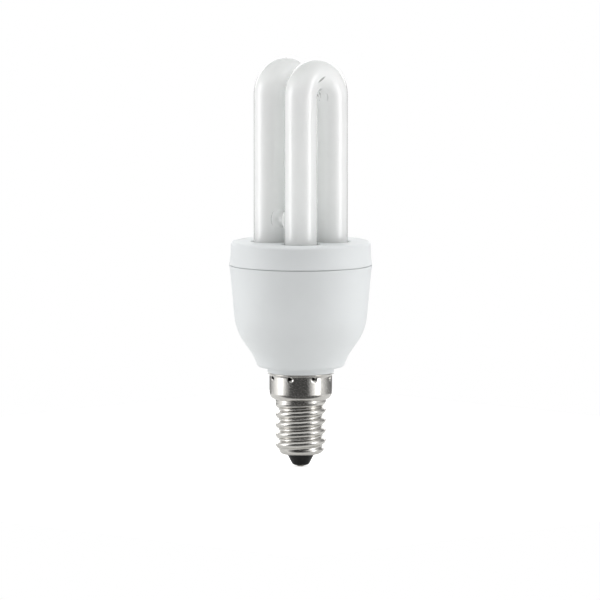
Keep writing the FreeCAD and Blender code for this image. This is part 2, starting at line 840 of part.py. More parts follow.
def feedback_winding(index):
    """One winding's turns side by side round the ring, as one saddle with its two leads."""
    grow = ring_winding_thickness
    first = 90 - ring_winding_angle / 2 + index * 360 / ring_winding_count
    coil = ring_piece(ring_inner_radius - grow, ring_outer_radius + grow, ring_thickness + 2 * grow,
                      ring_winding_angle, first)
    angle = math.radians(first + ring_winding_angle / 2)
    middle = (ring_inner_radius + ring_outer_radius) / 2
    x = ring_x + middle * math.cos(angle)
    low = ring_height() + middle * math.sin(angle)
    side = (ring_thickness + grow) / 2
    holes = [(x, ring_y - side), (x, ring_y + side)]
    wires = [disc(grow / 2, low, board_top_height + lead_end, hole) for hole in holes]
    return joined([coil.cut(feedback_core())] + wires), holes


def wrap_pin(place):
    """Square pin through the board, for the wrapped tube lead."""
    low = board_bottom_height - lead_end
    height = board_thickness + lead_end + wrap_pin_height
    return block((wrap_pin_side, wrap_pin_side, height), place, low)


def tube_lead(start, place):
    """Wire from a pinched tube end to its pin, wound round the pin at its end."""
    low = board_top_height + wrap_lift
    level = low + wrap_height / 2
    top = leg_end_height - pinch_length
    path = [(start[0], start[1], top), (start[0], start[1], level), (place[0], place[1], level)]
    wire = rod(path, tube_lead_radius, tube_lead_bend)
    wrap = disc(wrap_radius, low, low + wrap_height, place)
    return joined([wire, wrap]).cut(wrap_pin(place))


def phase_wire():
    x, y = phase_wire_place
    path = [(x, y, board_top_height + lead_end), (x, y, supply_wire_slant_top),
            (0, 0, housing_bottom_height + housing_wall), (0, 0, insulator_well_height - eyelet_radius)]
    return rod(path, supply_wire_radius, supply_wire_bend)


def neutral_wire():
    x, y = neutral_wire_place
    inner = polar(neck_bore - 2 * supply_wire_radius, neutral_slot_angle)
    outer = polar(skirt_inside - supply_wire_radius, neutral_slot_angle)
    turn = neck_end_height - neutral_wire_turn
    path = [(x, y, board_top_height + lead_end), (x, y, supply_wire_slant_top),
            (inner[0], inner[1], housing_bottom_height + housing_wall), (inner[0], inner[1], turn),
            (outer[0], outer[1], turn), (outer[0], outer[1], neutral_wire_top)]
    return rod(path, supply_wire_radius, neutral_wire_bend)


def solder_joint(place, radius):
    cone = Part.makeCone(joint_radius, radius, joint_height, Vec(place[0], place[1], board_top_height))
    return cone.cut(disc(radius, board_top_height, board_top_height + joint_height, place))


def export_outside():
    save("discharge_tube", discharge_tube())
    save("tube_lid", tube_lid())
    for number, place in enumerate(legs.values(), 1):
        save("cement_ring_%d" % number, cement_ring(place))
    save("housing", housing())
    inside = cap_inside()
    save("cap_shell", cap_shell(inside))
    save("cap_insulator", cap_insulator(inside))
    save("contact_eyelet", contact_eyelet())
    save("contact_solder", contact_solder())


def export_ballast():
    """Every component under the board, and the board with their holes."""
    holes = []
    components = {}
    components["tube_capacitor"] = film_capacitor(tube_capacitor_place, tube_capacitor_size)
    components["coupling_capacitor"] = film_capacitor(coupling_capacitor_place, coupling_capacitor_size)
    components["filter_capacitor"] = filter_capacitor()
    for number, place in enumerate(transistor_places, 1):
        components["transistor_%d" % number] = transistor(place)
    for number, place in enumerate(diode_places, 1):
        wires, ends = standing(place, diode_radius, diode_length, (1, 0))
        body = capsule(place, diode_radius, diode_length)
        components["diode_%d" % number] = joined([body] + wires), ends
    wires, ends = standing(trigger_place, trigger_radius, trigger_length, (0, -1))
    body = capsule(trigger_place, trigger_radius, trigger_length)
    components["trigger_diode"] = joined([body] + wires), ends
    resistors = {"base_resistor_1": base_resistor_places[0], "base_resistor_2": base_resistor_places[1],
                 "start_resistor": start_resistor_place, "fuse_resistor": fuse_resistor_place}
    for name, place in resistors.items():
        direction = hairpin_directions[name]
        wires, ends = standing(place, resistor_radius, resistor_length, direction)
        components[name] = joined([resistor_body(place)] + wires), ends
    for name, (shape, places) in components.items():
        save(name, shape)
        holes += places
    save("choke_core_1", choke_core(1))
    save("choke_core_2", choke_core(-1))
    save("choke_bobbin", choke_bobbin())
    save("choke_winding", choke_winding())
    save("choke_pins", choke_pins())
    holes += choke_pin_places()
    save("feedback_core", feedback_core())
    for index in range(ring_winding_count):
        coil, ends = feedback_winding(index)
        save("feedback_winding_%d" % (index + 1), coil)
        holes += ends
    return holes


def export_wiring(holes):
    """Board, solder, pins and wires."""
    ends = []
    reach = pinch_lead_pitch / 2
    for name in ("right", "back"):
        x, y = legs[name]
        ends += [(x - reach, y), (x + reach, y)]
    ends = [ends[0], ends[1], ends[3], ends[2]]
    for number, (start, place) in enumerate(zip(ends, wrap_pin_places), 1):
        save("wrap_pin_%d" % number, wrap_pin(place))
        save("tube_lead_%d" % number, tube_lead(start, place))
    save("phase_wire", phase_wire())
    save("neutral_wire", neutral_wire())
    board = disc(board_radius, board_bottom_height, board_top_height)
    pins = [wrap_pin(place) for place in wrap_pin_places]
    supply = [phase_wire_place, neutral_wire_place]
    drills = [disc(lead_radius + hole_clearance, board_bottom_height, board_top_height, p) for p in holes]
    drills += [disc(supply_wire_radius + hole_clearance, board_bottom_height, board_top_height, p)
               for p in supply]
    save("circuit_board", board.cut(drills + pins))
    joints = [solder_joint(p, lead_radius) for p in holes]
    joints += [solder_joint(p, supply_wire_radius) for p in supply]
    save("solder_joints", Part.Compound(joints))


os.makedirs("parts", exist_ok=True)
export_outside()
export_wiring(export_ballast())
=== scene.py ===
import math

import bmesh
import bpy
from bpy.props import FloatProperty, FloatVectorProperty, IntProperty, PointerProperty
from bpy.types import Operator, Panel, PropertyGroup
from mathutils import Matrix, Vector


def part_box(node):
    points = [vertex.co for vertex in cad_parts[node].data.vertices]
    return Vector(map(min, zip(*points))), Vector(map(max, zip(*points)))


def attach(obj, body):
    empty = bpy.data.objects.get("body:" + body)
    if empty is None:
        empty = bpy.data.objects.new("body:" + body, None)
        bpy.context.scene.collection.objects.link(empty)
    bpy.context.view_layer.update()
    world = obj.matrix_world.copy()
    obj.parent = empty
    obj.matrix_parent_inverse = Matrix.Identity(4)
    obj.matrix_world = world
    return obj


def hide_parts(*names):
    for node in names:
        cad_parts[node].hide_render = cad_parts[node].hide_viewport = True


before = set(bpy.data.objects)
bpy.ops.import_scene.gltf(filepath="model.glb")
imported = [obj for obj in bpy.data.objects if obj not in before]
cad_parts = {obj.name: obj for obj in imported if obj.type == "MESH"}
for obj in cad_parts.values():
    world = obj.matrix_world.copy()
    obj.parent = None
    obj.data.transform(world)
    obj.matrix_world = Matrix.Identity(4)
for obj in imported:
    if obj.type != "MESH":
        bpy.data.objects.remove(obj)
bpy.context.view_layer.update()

bl_info = {
    "name": "Energy saving bulb",
    "version": (1, 0, 0),
    "blender": (4, 5, 0),
    "location": "View3D > Sidebar > Lamp",
    "description": "Dresses a compact fluorescent lamp with a screw cap and sets it in a small studio",
    "category": "Object",
}

BODY = "root"
MM = 0.001
TUBE_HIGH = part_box("discharge_tube")[1]
LID_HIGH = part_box("tube_lid")[1]
CAP_LOW, CAP_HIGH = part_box("cap_shell")
SOFT = {"interpolation_type": "SMOOTHSTEP"}

# In metres: how near two points or two heights are one, and how high a row of the cap's faces is.
SAME_PLACE = 1e-7
SAME_HEIGHT = 1e-6
CAP_ROW = 0.15 * MM


def linear(code):
    """sRGB hex code to linear red, green and blue."""
    values = [int(code[i:i + 2], 16) / 255 for i in (1, 3, 5)]
    return tuple(v / 12.92 if v <= 0.04045 else ((v + 0.055) / 1.055) ** 2.4 for v in values)


def length(name, description, size):
    """Property for a length whose default is given in millimetres."""
    return FloatProperty(name=name, description=description, default=size * MM, min=0.0,
                         unit="LENGTH", subtype="DISTANCE", precision=5)


def turn(name, description, degrees):
    return FloatProperty(name=name, description=description, default=math.radians(degrees), subtype="ANGLE")


def level(name, description, default):
    return FloatProperty(name=name, description=description, default=default, min=0.0)


def number(name, description, default):
    return IntProperty(name=name, description=description, default=default, min=1)


def colour(name, description, code):
    return FloatVectorProperty(name=name, description=description, default=linear(code),
                               size=3, min=0.0, max=1.0, subtype="COLOR")


class LampTubeSizes(PropertyGroup):
    """Sizes of the discharge tube"""

    diameter: length("Tube diameter", "Outside diameter of the glass tube", 9.0)
    leg_offset: length("Leg offset", "From the lamp's middle planes to each leg's axis", 6.0)
    bridge_diameter: length("Bridge diameter", "Waist of the fused glass bridge", 4.0)
    bridge_height: length("Bridge height", "Height of the bridge's axis", 69.2)
    bridge_root: length("Bridge root", "Radius of the flare between the bridge and a leg", 2.2)
    bridge_sink: length("Bridge sink", "How far the flare runs into a leg's side", 0.55)
    end_height: length("Leg end", "Height at which the legs end under the lid", 54.6)
    end_rounding: length("Leg end rounding", "Rounding at the end of a leg", 2.6)
    faces: number("Faces", "Faces round the tube", 72)


class LampBodySizes(PropertyGroup):
    """Sizes of the lid and the housing"""

    side_radius: length("Lid radius", "Radius of the lid's upright side", 19.4)
    flare_height: length("Lid flare", "Height of the flare down to the seam", 4.2)
    corner: length("Lid corner", "Rounding of the lid's upper edge", 0.8)
    plate: length("Lid plate", "Thickness of the lid's face", 1.5)
    spigot_radius: length("Spigot radius", "Outside radius of the lid's spigot", 18.3)
    spigot_wall: length("Spigot wall", "Wall of the lid's spigot", 1.1)
    spigot_depth: length("Spigot depth", "From the seam to the spigot's end", 3.0)
    socket_radius: length("Socket radius", "Radius of a tube socket", 5.25)
    socket_wall: length("Socket wall", "Wall of a tube socket", 1.0)
    socket_depth: length("Socket depth", "Depth of a tube socket", 6.2)
    socket_edge: length("Socket edge", "Rounding at the mouth of a socket", 0.5)
    seam_height: length("Seam height", "Height of the seam", 56.2)
    seam_width: length("Seam width", "Width of the shadow line at the seam", 0.24)
    seam_depth: length("Seam depth", "Depth of the shadow line at the seam", 0.55)
    faces: number("Faces", "Faces round the lid and the housing", 192)
    socket_faces: number("Socket faces", "Faces round a socket", 96)
    wall: length("Housing wall", "Wall of the housing", 1.4)
    taper_top_radius: length("Taper top radius", "Radius at the top of the taper", 19.4)
    taper_top: length("Taper top", "Height of the top of the taper", 52.9)
    taper_bottom_radius: length("Taper bottom radius", "Radius at the taper's lower end", 18.4)
    taper_bottom: length("Taper bottom", "Height of the taper's lower end", 42.0)
    rim_arc: length("Rim arc", "Radius of the flare under the seam", 36.0)
    shoulder_arc: length("Shoulder arc", "Radius of the housing's shoulder", 15.2)
    foot_arc: length("Foot arc", "Radius of the hollow curve at the foot", 14.0)
    foot_corner: length("Foot corner", "Rounding at the housing's foot", 1.3)
    bottom: length("Housing bottom", "Height of the housing's foot", 27.75)
    collar_radius: length("Collar radius", "Radius of the collar under the housing", 9.2)
    collar_chamfer: length("Collar chamfer", "Chamfer at the collar's lower edge", 0.2)
    cone_angle: turn("Cone angle", "Lean of the cone between the curves", 35)
    foot_angle: turn("Foot angle", "Lean of the wall at the foot", 18)


class LampCapSizes(PropertyGroup):
    """Sizes of the screw cap and its contact"""

    faces: number("Faces", "Faces round the cap", 288)
    wall: length("Cap wall", "Thickness of the rolled brass", 0.3)
    rim_radius: length("Rim radius", "Radius of the flared rim", 9.0)
    rim_flare: length("Rim flare", "Height of the rim's flare", 0.9)
    skirt_radius: length("Skirt radius", "Radius of the plain skirt", 8.35)
    skirt_bottom: length("Skirt bottom", "Height of the skirt's floor", 19.05)
    skirt_corner: length("Skirt corner", "Rounding at the skirt's lower edge", 1.45)
    neck_end: length("Neck end", "Height of the housing's neck inside the skirt", 20.9)
    pitch: length("Thread pitch", "Pitch of the rolled thread", 2.822)
    depth: length("Thread depth", "From the thread's crests to its roots", 0.95)
    major_radius: length("Thread radius", "Radius over the thread's crests", 6.7)
    crest_height: length("Crest height", "Height of a crest at the crest angle", 13.01)
    crest_angle: turn("Crest angle", "Polar angle of that crest", 315)
    thread_start: length("Thread start", "Height at which the thread begins", 3.3)
    thread_full: length("Thread full", "Height at which the thread has its full depth", 6.3)
    thread_end: length("Thread end", "Height at which the plain bead begins", 18.2)
    thread_merge: length("Thread merge", "Height over which the thread meets the bead", 1.6)
    corner: length("Cap corner", "Rounding at the cap's lower edge", 1.15)
    lip_radius: length("Lip radius", "Inner radius of the cap's lower lip", 3.6)
    stake_height: length("Stake height", "Height of the punch marks", 24.8)
    stake_radius: length("Stake radius", "Radius of the punch", 0.85)
    stake_offset: length("Stake offset", "Centre of the punch outside the skirt", 0.4)
    stake_first: turn("First stake", "Polar angle of the first punch mark", 26.2)
    stake_count: number("Stakes", "Punch marks round the skirt", 8)
    glass_radius: length("Glass radius", "Radius of the black glass at the lip", 3.9)
    glass_end_radius: length("Glass end radius", "Radius at the glass cone's lower end", 2.48)
    glass_end: length("Glass end", "Height of the cone's lower end", 1.0)
    glass_flat: length("Glass flat", "Radius of the glass's flat end", 1.1)
    bead_height: length("Bead height", "Height of the solder bead", 0.33)
    bead_radius: length("Bead radius", "Radius of the solder bead", 1.1)
    bead_flat: length("Bead flat", "Radius of the bead's flat tip", 0.45)
    glass_faces: number("Glass faces", "Faces round the black glass", 96)
    bead_faces: number("Bead faces", "Faces round the bead", 64)


class LampColours(PropertyGroup):
    """Colours of the lamp's materials"""

    coated_glass: colour("Coated glass", "White powder seen through clear glass", "#F5F8F6")
    # Also the colour of the painted shade and reflection at the tubes' inner bends and on the front arch.
    bare_glass_and_shade: colour("Bare glass", "Grey glass where the powder has cracked", "#6E716E")
    housing: colour("Housing", "Matt white polyester moulding", "#E6E9EA")
    cement: colour("Cement", "Grey cement in the sockets", "#AFAEA8")
    nickel: colour("Nickel", "Nickel plating", "#CFCDC9")
    # Painted shadow: the near-black colour put in each punch mark.
    punch_shadow: colour("Soot", "Dark torn metal in a punch mark", "#0C0C0C")
    black_glass: colour("Black glass", "Pressed black glass", "#101111")
    solder: colour("Solder", "Dull solder", "#D8D5CD")
    brass: colour("Brass", "Plain brass of the eyelet", "#C9A764")
    laminate: colour("Laminate", "Pressed paper board", "#A9824C")
    ferrite: colour("Ferrite", "Sintered core", "#2B2B2E")
    copper: colour("Copper wire", "Enamelled copper", "#A7572B")
    tinned: colour("Tinned wire", "Tinned copper", "#C9C9C6")
    resin: colour("Black resin", "Moulded epoxy", "#1B1B1C")
    film_resin: colour("Film capacitor", "Dipped epoxy", "#8E2F1D")
    sleeve: colour("Can sleeve", "Shrunk film on the can", "#1E2A44")
    diode_glass: colour("Diode glass", "Tinted glass", "#B4552C")
    lacquer: colour("Resistor lacquer", "Tan lacquer", "#BDA476")
    insulation: colour("Wire sleeve", "Insulated wire", "#DAD9D4")
    floor: colour("Floor", "Pale studio floor", "#F4F4F3")


class LampStudioSettings(PropertyGroup):
    """Camera, lamps and background"""

    distance: length("Camera distance", "From the lens to the aiming point", 3400)
    field: length("Field", "Width of the picture at the lamp", 166.2)
    aim_height: length("Aim height", "Height of the aiming point", 46.3)
    aim_side: length("Aim side", "How far the aiming point lies to the left", 0.2)
    azimuth: turn("Azimuth", "Camera's turn round the lamp", -45.0)
    elevation: turn("Elevation", "Camera's height above the horizon", 5.57)
    box_distance: length("Softbox distance", "From the lamp to each softbox", 620)
    box_height: length("Softbox height", "Height of each softbox", 1300)
    left_turn: turn("Left softbox", "Turn of the left softbox from the camera", -79.0)
    left_width: length("Left width", "Width of the left softbox", 900)
    left_level: level("Left level", "Radiance of the left softbox", 1.32)
    right_turn: turn("Right softbox", "Turn of the right softbox from the camera", 68.0)
    right_width: length("Right width", "Width of the right softbox", 1100)
    right_level: level("Right level", "Radiance of the right softbox", 1.28)
    ambient: level("Ambient", "Level of the room's light from the lens's side", 0.0)
    backdrop: level("Backdrop", "Level of the light from the pale wall behind the lamp", 0.85)
    overhead: level("Overhead", "Level of the light from above", 0.6)
    mirror_above: level("Mirrored ceiling", "What shiny pieces see above them", 0.9)
    mirror_behind: level("Mirrored wall", "What shiny pieces see of the wall behind the lamp", 2.2)
    floor_size: length("Floor size", "Side of the floor", 300)
    floor_lift: level("Floor lift", "Glow that brings the lit floor to white", 0.62)
    floor_gleam: level("Floor gleam", "Share of that glow that shiny pieces see", 0.2)
    card_start: length("Card start", "From the lamp to the dark card on the floor's front", 15.0)


# What shiny pieces see round them, at turns from the camera in degrees: a dark room ahead and behind, and on
# each side a softbox with a strip lamp in it, which fades into the room.
MIRRORED = ((-180, 0.1), (-168, 0.12), (-150, 0.3), (-128, 0.7), (-108, 1.3), (-93, 1.8), (-89, 4.6),
            (-75, 4.6), (-67, 1.6), (-52, 0.6), (-38, 0.09), (26, 0.08), (35, 0.6), (44, 1.5), (56, 1.8),
            (59, 4.6), (73, 4.6), (80, 1.3), (100, 0.6), (120, 0.25), (165, 0.1), (180, 0.1))


def colours():
    return bpy.context.scene.lamp_colours


def fill(node, inputs):
    """Give a node's inputs a value, a socket or another node, which stands for its first output."""
    for name, value in inputs.items():
        if isinstance(value, bpy.types.Node):
            value = next(socket for socket in value.outputs if socket.enabled)
        if isinstance(value, bpy.types.NodeSocket):
            node.id_data.links.new(value, node.inputs[name])
        else:
            node.inputs[name].default_value = value


def add(tree, kind, inputs=None, **settings):
    """Add a shader node with its settings, values and links."""
    node = tree.nodes.new("ShaderNode" + kind)
    for name, value in settings.items():
        setattr(node, name, value)
    fill(node, inputs or {})
    return node


def surface(name, base, **inputs):
    """New material with one Principled shader and its object coordinates."""
    material = bpy.data.materials.new(name)
    material.use_nodes = True
    tree = material.node_tree
    tree.nodes.clear()
    place = add(tree, "TexCoord").outputs["Object"]
    values = {key.replace("_", " ").title().replace("Ior", "IOR"): value for key, value in inputs.items()}
    shader = add(tree, "BsdfPrincipled", {"Base Color": (*base, 1.0), **values})
    add(tree, "OutputMaterial", {"Surface": shader})
    return material, tree, shader, place


def clouded(tree, place, size, base, low, detail=3.0):
    """A colour that sinks to a low share of itself in soft clouds of one size, and the clouds themselves."""
    cloud = add(tree, "TexNoise", {"Vector": place, "Scale": 1 / size, "Detail": detail})
    even = add(tree, "MapRange", {"Value": cloud, "From Min": 0.3, "From Max": 0.7})
    dark = tuple(c * low for c in base)
    return add(tree, "Mix", {"Factor": even, "A": (*base, 1.0), "B": (*dark, 1.0)}, data_type="RGBA"), even


def coated_glass(spring):
    # Soda glass tube, drawn and bent, with a settled white powder coating inside: milk white and even,
    # under a clear skin that mirrors the softboxes sharply. The grey bare glass shows on the bridge. Painted
    # on the coating are fine dark streaks of shade and reflection at the tight inner bend of each arch, a
    # dark painted reflection on the front arch, painted shade on the outer tops of the arches and towards the
    # lid, and a thin grey line painted where the clear wall is seen edge-on.
    base = colours().coated_glass
    tube = bpy.context.scene.lamp_tube_sizes
    material, tree, shader, place = surface("fluorescent_tube_glass", base, roughness=0.5, ior=1.52,
                                            coat_weight=1.0, coat_roughness=0.03, coat_ior=1.52,
                                            subsurface_weight=1.0, subsurface_scale=25.0 * MM,
                                            subsurface_radius=(1.0, 1.0, 1.0))
    cloud, _ = clouded(tree, place, 7 * MM, base, 0.975)
    spot = add(tree, "SeparateXYZ", {0: place}).outputs

    # Painted shade and reflection: dark streaks at the inner bend, drawn out along the arch.
    streak_run = 0.8 * MM
    rise = add(tree, "Math", {0: spot["Z"], 1: spring}, operation="SUBTRACT")
    flat = add(tree, "CombineXYZ", {"X": spot["X"], "Z": rise})
    reach = add(tree, "VectorMath", {0: flat}, operation="LENGTH")
    inner = add(tree, "MapRange", {"Value": reach, "From Min": 1.6 * MM, "From Max": 2.7 * MM,
                                   "To Min": 1.0, "To Max": 0.0})
    above = add(tree, "MapRange", {"Value": rise, "From Min": -3.0 * MM, "From Max": -1.0 * MM}, **SOFT)
    bend = add(tree, "Math", {0: rise, 1: spot["X"]}, operation="ARCTAN2")
    along = add(tree, "Math", {0: bend, 1: streak_run}, operation="MULTIPLY")
    drawn = add(tree, "CombineXYZ", {"X": along, "Y": spot["Y"], "Z": reach})
    streak_noise = add(tree, "TexNoise", {"Vector": drawn, "Scale": 1 / (1.3 * MM), "Detail": 1.0,
                                   "Distortion": 0.6})
    line = add(tree, "MapRange", {"Value": streak_noise, "From Min": 0.60, "From Max": 0.64, "To Max": 0.6})
    near = add(tree, "Math", {0: inner, 1: above}, operation="MULTIPLY")
    painted_streaks = add(tree, "Math", {0: near, 1: line}, operation="MULTIPLY")

    # Bare glass on the bridge: an egg round its middle, a little longer along it.
    egg = (1.0, 0.8, 1.0)
    axis = add(tree, "VectorMath", {0: place, 1: (-tube.leg_offset, 0, tube.bridge_height)},
               operation="SUBTRACT")
    round_axis = add(tree, "VectorMath", {0: axis, 1: egg}, operation="MULTIPLY")
    off = add(tree, "VectorMath", {0: round_axis}, operation="LENGTH")
    clear = add(tree, "MapRange", {"Value": off, "From Min": 2.0 * MM, "From Max": 2.9 * MM,
                                   "To Min": 0.22, "To Max": 0.0})

    # Painted reflection: a dark slanting oval on the front of the front arch.
    reflection_side, reflection_rise = -2.3 * MM, 5.05 * MM
    slant_x, slant_z = 0.876, 0.483
    half_length, half_width = 1.9, 0.4
    front = -tube.leg_offset - 0.4 * tube.diameter
    from_reflection = add(tree, "VectorMath", {0: place, 1: (reflection_side, 0, spring + reflection_rise)},
                operation="SUBTRACT")
    run = add(tree, "VectorMath", {0: from_reflection, 1: (slant_x / half_length, 0, slant_z / half_length)},
              operation="DOT_PRODUCT")
    thin = add(tree, "VectorMath", {0: from_reflection, 1: (-slant_z / half_width, 0, slant_x / half_width)},
               operation="DOT_PRODUCT")
    oval = add(tree, "CombineXYZ", {"X": run, "Y": thin})
    far = add(tree, "VectorMath", {0: oval}, operation="LENGTH")
    mark = add(tree, "MapRange", {"Value": far, "From Min": 0.5 * MM, "From Max": 1.0 * MM,
                                  "To Min": 0.8, "To Max": 0.0})
    face = add(tree, "Math", {0: spot["Y"], 1: front}, operation="LESS_THAN")
    painted_reflection = add(tree, "Math", {0: mark, 1: face}, operation="MULTIPLY")

    some = add(tree, "Math", {0: painted_streaks, 1: clear}, operation="MAXIMUM")
    shown = add(tree, "Math", {0: some, 1: painted_reflection}, operation="MAXIMUM")
    bare = add(tree, "Mix", {"Factor": shown, "A": cloud, "B": (*colours().bare_glass_and_shade, 1.0)},
               data_type="RGBA")

    # Painted shade: the coating darkened a little towards the lid and on the outer tops of the arches, and a
    # painted grey line where the clear wall is seen edge-on.
    lid = LID_HIGH.z
    ends = add(tree, "MapRange", {"Value": spot["Z"], "From Min": lid, "From Max": lid + 30 * MM,
                                  "To Min": 0.95})
    outer = add(tree, "MapRange", {"Value": reach, "From Min": 7.0 * MM, "From Max": 10.5 * MM,
                                   "To Max": 0.3})
    arch_top_shade = add(tree, "MapRange", {"Value": rise, "From Min": 2.0 * MM, "From Max": 8.0 * MM})
    lean = add(tree, "Math", {0: outer, 1: arch_top_shade}, operation="MULTIPLY")
    full = add(tree, "Math", {0: ends, 1: lean}, operation="SUBTRACT")
    facing = add(tree, "LayerWeight", {"Blend": 0.5}).outputs["Facing"]
    wall = add(tree, "MapRange", {"Value": facing, "From Min": 0.72, "From Max": 0.94, "To Min": 1.0,
                                  "To Max": 0.3})
    both = add(tree, "Math", {0: full, 1: wall}, operation="MULTIPLY")
    grey = add(tree, "VectorMath", {0: bare, "Scale": both}, operation="SCALE")
    wave = add(tree, "TexNoise", {"Vector": place, "Scale": 1 / (5 * MM), "Detail": 1.0})
    ripple = add(tree, "Bump", {"Height": wave, "Distance": 0.05 * MM, "Strength": 0.5})
    fill(shader, {"Base Color": grey, "Coat Normal": ripple})
    return material


def moulded_polyester():
    # Glass-filled polyester, moulded in a spark-finished tool: matt white with a very fine even grain.
    base = colours().housing
    material, tree, shader, place = surface("moulded_white_polyester", base, roughness=0.52, ior=1.5,
                                            specular_ior_level=0.45)
    cloud, _ = clouded(tree, place, 9 * MM, base, 0.975, 2.0)
    fine = add(tree, "TexNoise", {"Vector": place, "Scale": 1 / (0.28 * MM), "Detail": 3.0})
    dull = add(tree, "MapRange", {"Value": fine, "From Min": 0.3, "From Max": 0.7, "To Min": 0.46,
                                  "To Max": 0.60})
    skin = add(tree, "Bump", {"Height": fine, "Distance": 0.02 * MM, "Strength": 0.6})
    fill(shader, {"Base Color": cloud, "Roughness": dull, "Normal": skin})
    return material


def poured_cement():
    # Poured and baked lamp cement: dull grey, gritty, with small pores.
    base = colours().cement
    material, tree, shader, place = surface("lamp_cement", base, roughness=0.9)
    cloud, even = clouded(tree, place, 0.35 * MM, base, 0.72, 4.0)
    grit = add(tree, "Bump", {"Height": even, "Distance": 0.05 * MM, "Strength": 1.0})
    fill(shader, {"Base Color": cloud, "Normal": grit})
    return material


def plated_brass():
    # Brass sheet, deep-drawn and rolled, then nickel plated in a barrel: a grey mirror with a fine speckle
    # from the tumbling and faint drawing lines round the cap. A near-black painted shadow lies at the upper
    # edge of each punch mark.
    base = colours().nickel
    cap = bpy.context.scene.lamp_cap_sizes
    material, tree, shader, place = surface("nickel_plated_brass", base, metallic=1.0, roughness=0.28)
    cloud, _ = clouded(tree, place, 3 * MM, base, 0.92)
    spot = add(tree, "SeparateXYZ", {0: place}).outputs

    # The painted shadow stands a little to one side of each punch mark's middle and above it.
    shade_turn = 0.35 * cap.stake_radius / cap.skirt_radius
    shade_rise = 0.25 * cap.stake_radius
    step = math.tau / cap.stake_count
    around = add(tree, "Math", {0: spot["Y"], 1: spot["X"]}, operation="ARCTAN2")
    share = add(tree, "Math", {0: around, 1: cap.stake_first - shade_turn}, operation="SUBTRACT")
    fold = add(tree, "Math", {0: share, 1: -step / 2, 2: step / 2}, operation="WRAP")
    across = add(tree, "Math", {0: fold, 1: cap.skirt_radius}, operation="MULTIPLY")
    high = add(tree, "Math", {0: spot["Z"], 1: cap.stake_height + shade_rise}, operation="SUBTRACT")
    flat = add(tree, "CombineXYZ", {"X": across, "Z": high})
    reach = add(tree, "VectorMath", {0: flat}, operation="LENGTH")
    shaded = add(tree, "MapRange", {"Value": reach, "From Min": 0.42 * MM, "From Max": 0.62 * MM,
                                  "To Min": 1.0, "To Max": 0.0})
    tint = add(tree, "Mix", {"Factor": shaded, "A": cloud, "B": (*colours().punch_shadow, 1.0)}, data_type="RGBA")

    stretched = add(tree, "Mapping", {"Vector": place, "Scale": (1.0, 1.0, 3.0)})
    speckle = add(tree, "TexNoise", {"Vector": stretched, "Scale": 1 / (0.4 * MM), "Detail": 3.0,
                                     "Roughness": 0.6})
    dull = add(tree, "MapRange", {"Value": speckle, "From Min": 0.3, "From Max": 0.7, "To Min": 0.15,
                                  "To Max": 0.30})
    skin = add(tree, "Bump", {"Height": speckle, "Distance": 0.01 * MM, "Strength": 0.5})
    fill(shader, {"Base Color": tint, "Roughness": dull, "Normal": skin})
    return material


def pressed_black_glass():
    # Black insulating glass pressed hot into the cap: smooth with a slight orange-peel skin.
    base = colours().black_glass
    material, tree, shader, place = surface("pressed_black_glass", base, roughness=0.32, ior=1.5,
                                            specular_ior_level=0.26)
    skin = add(tree, "TexNoise", {"Vector": place, "Scale": 1 / (0.5 * MM), "Detail": 2.0})
    dull = add(tree, "MapRange", {"Value": skin, "From Min": 0.3, "From Max": 0.7, "To Min": 0.30,
                                  "To Max": 0.46})
    peel = add(tree, "Bump", {"Height": skin, "Distance": 0.03 * MM, "Strength": 0.6})
    fill(shader, {"Roughness": dull, "Normal": peel})
    return material


def metal(name, base, roughness, size, low=0.85):
    """Plain metal with small clouds in its colour and roughness."""
    material, tree, shader, place = surface(name, base, metallic=1.0, roughness=roughness)
    cloud, even = clouded(tree, place, size, base, low)
    dull = add(tree, "MapRange", {"Value": even, "To Min": roughness * 0.8, "To Max": roughness * 1.25})
    skin = add(tree, "Bump", {"Height": even, "Distance": 0.012 * MM, "Strength": 0.5})
    fill(shader, {"Base Color": cloud, "Roughness": dull, "Normal": skin})
    return material


def dielectric(name, base, roughness, size, low=0.85, depth=0.02 * MM):
    """Plain plastic, resin or ceramic with a fine grain."""
    material, tree, shader, place = surface(name, base, roughness=roughness, ior=1.5)
    cloud, even = clouded(tree, place, size, base, low)
    skin = add(tree, "Bump", {"Height": even, "Distance": depth, "Strength": 0.4})
    fill(shader, {"Base Color": cloud, "Normal": skin})
    return material


def make_object(bm, name):
    """New object with the bmesh's faces."""
    mesh = bpy.data.meshes.new(name)
    bm.to_mesh(mesh)
    bm.free()
    made = bpy.data.objects.new(name, mesh)
    bpy.context.collection.objects.link(made)
    return made


def close_faces(bm):
    """Close the seams and the poles, and turn the faces outwards."""
    bmesh.ops.remove_doubles(bm, verts=bm.verts, dist=SAME_PLACE)
    bmesh.ops.recalc_face_normals(bm, faces=bm.faces)


def smooth(piece, degrees):
    """Smooth faces, and sharp edges where they meet at more than an angle."""
    piece.data.shade_smooth()
    piece.data.set_sharp_from_angle(angle=math.radians(degrees))


def show(bm, name, material, node, degrees):
    """Turn a bmesh into a piece that stands for a CAD node and rides on the lamp's body."""
    close_faces(bm)
    piece = make_object(bm, name)
    smooth(piece, degrees)
    piece.data.materials.append(material)
    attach(piece, BODY)
    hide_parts(node)
    return piece


def arc(centre, radius, start, end, steps):
    """Points of an arc in the section plane, as radius and height."""
    turns = [start + (end - start) * i / steps for i in range(steps + 1)]
    return [(centre[0] + radius * math.cos(a), centre[1] + radius * math.sin(a)) for a in turns]


def spun(points, steps, closed=False, cent=(0, 0)):
    """New bmesh: an outline of radius and height pairs spun round the lamp's axis, or a leg's."""
    bm = bmesh.new()
    middle = Vector((cent[0], cent[1], 0))
    verts = [bm.verts.new(middle + Vector((r, 0, z))) for r, z in points]
    edges = [bm.edges.new(pair) for pair in zip(verts, verts[1:])]
    if closed:
        edges.append(bm.edges.new((verts[-1], verts[0])))
    bmesh.ops.spin(bm, geom=verts + edges, cent=middle, axis=(0, 0, 1), angle=math.tau, steps=steps,
                   use_merge=True)
    return bm


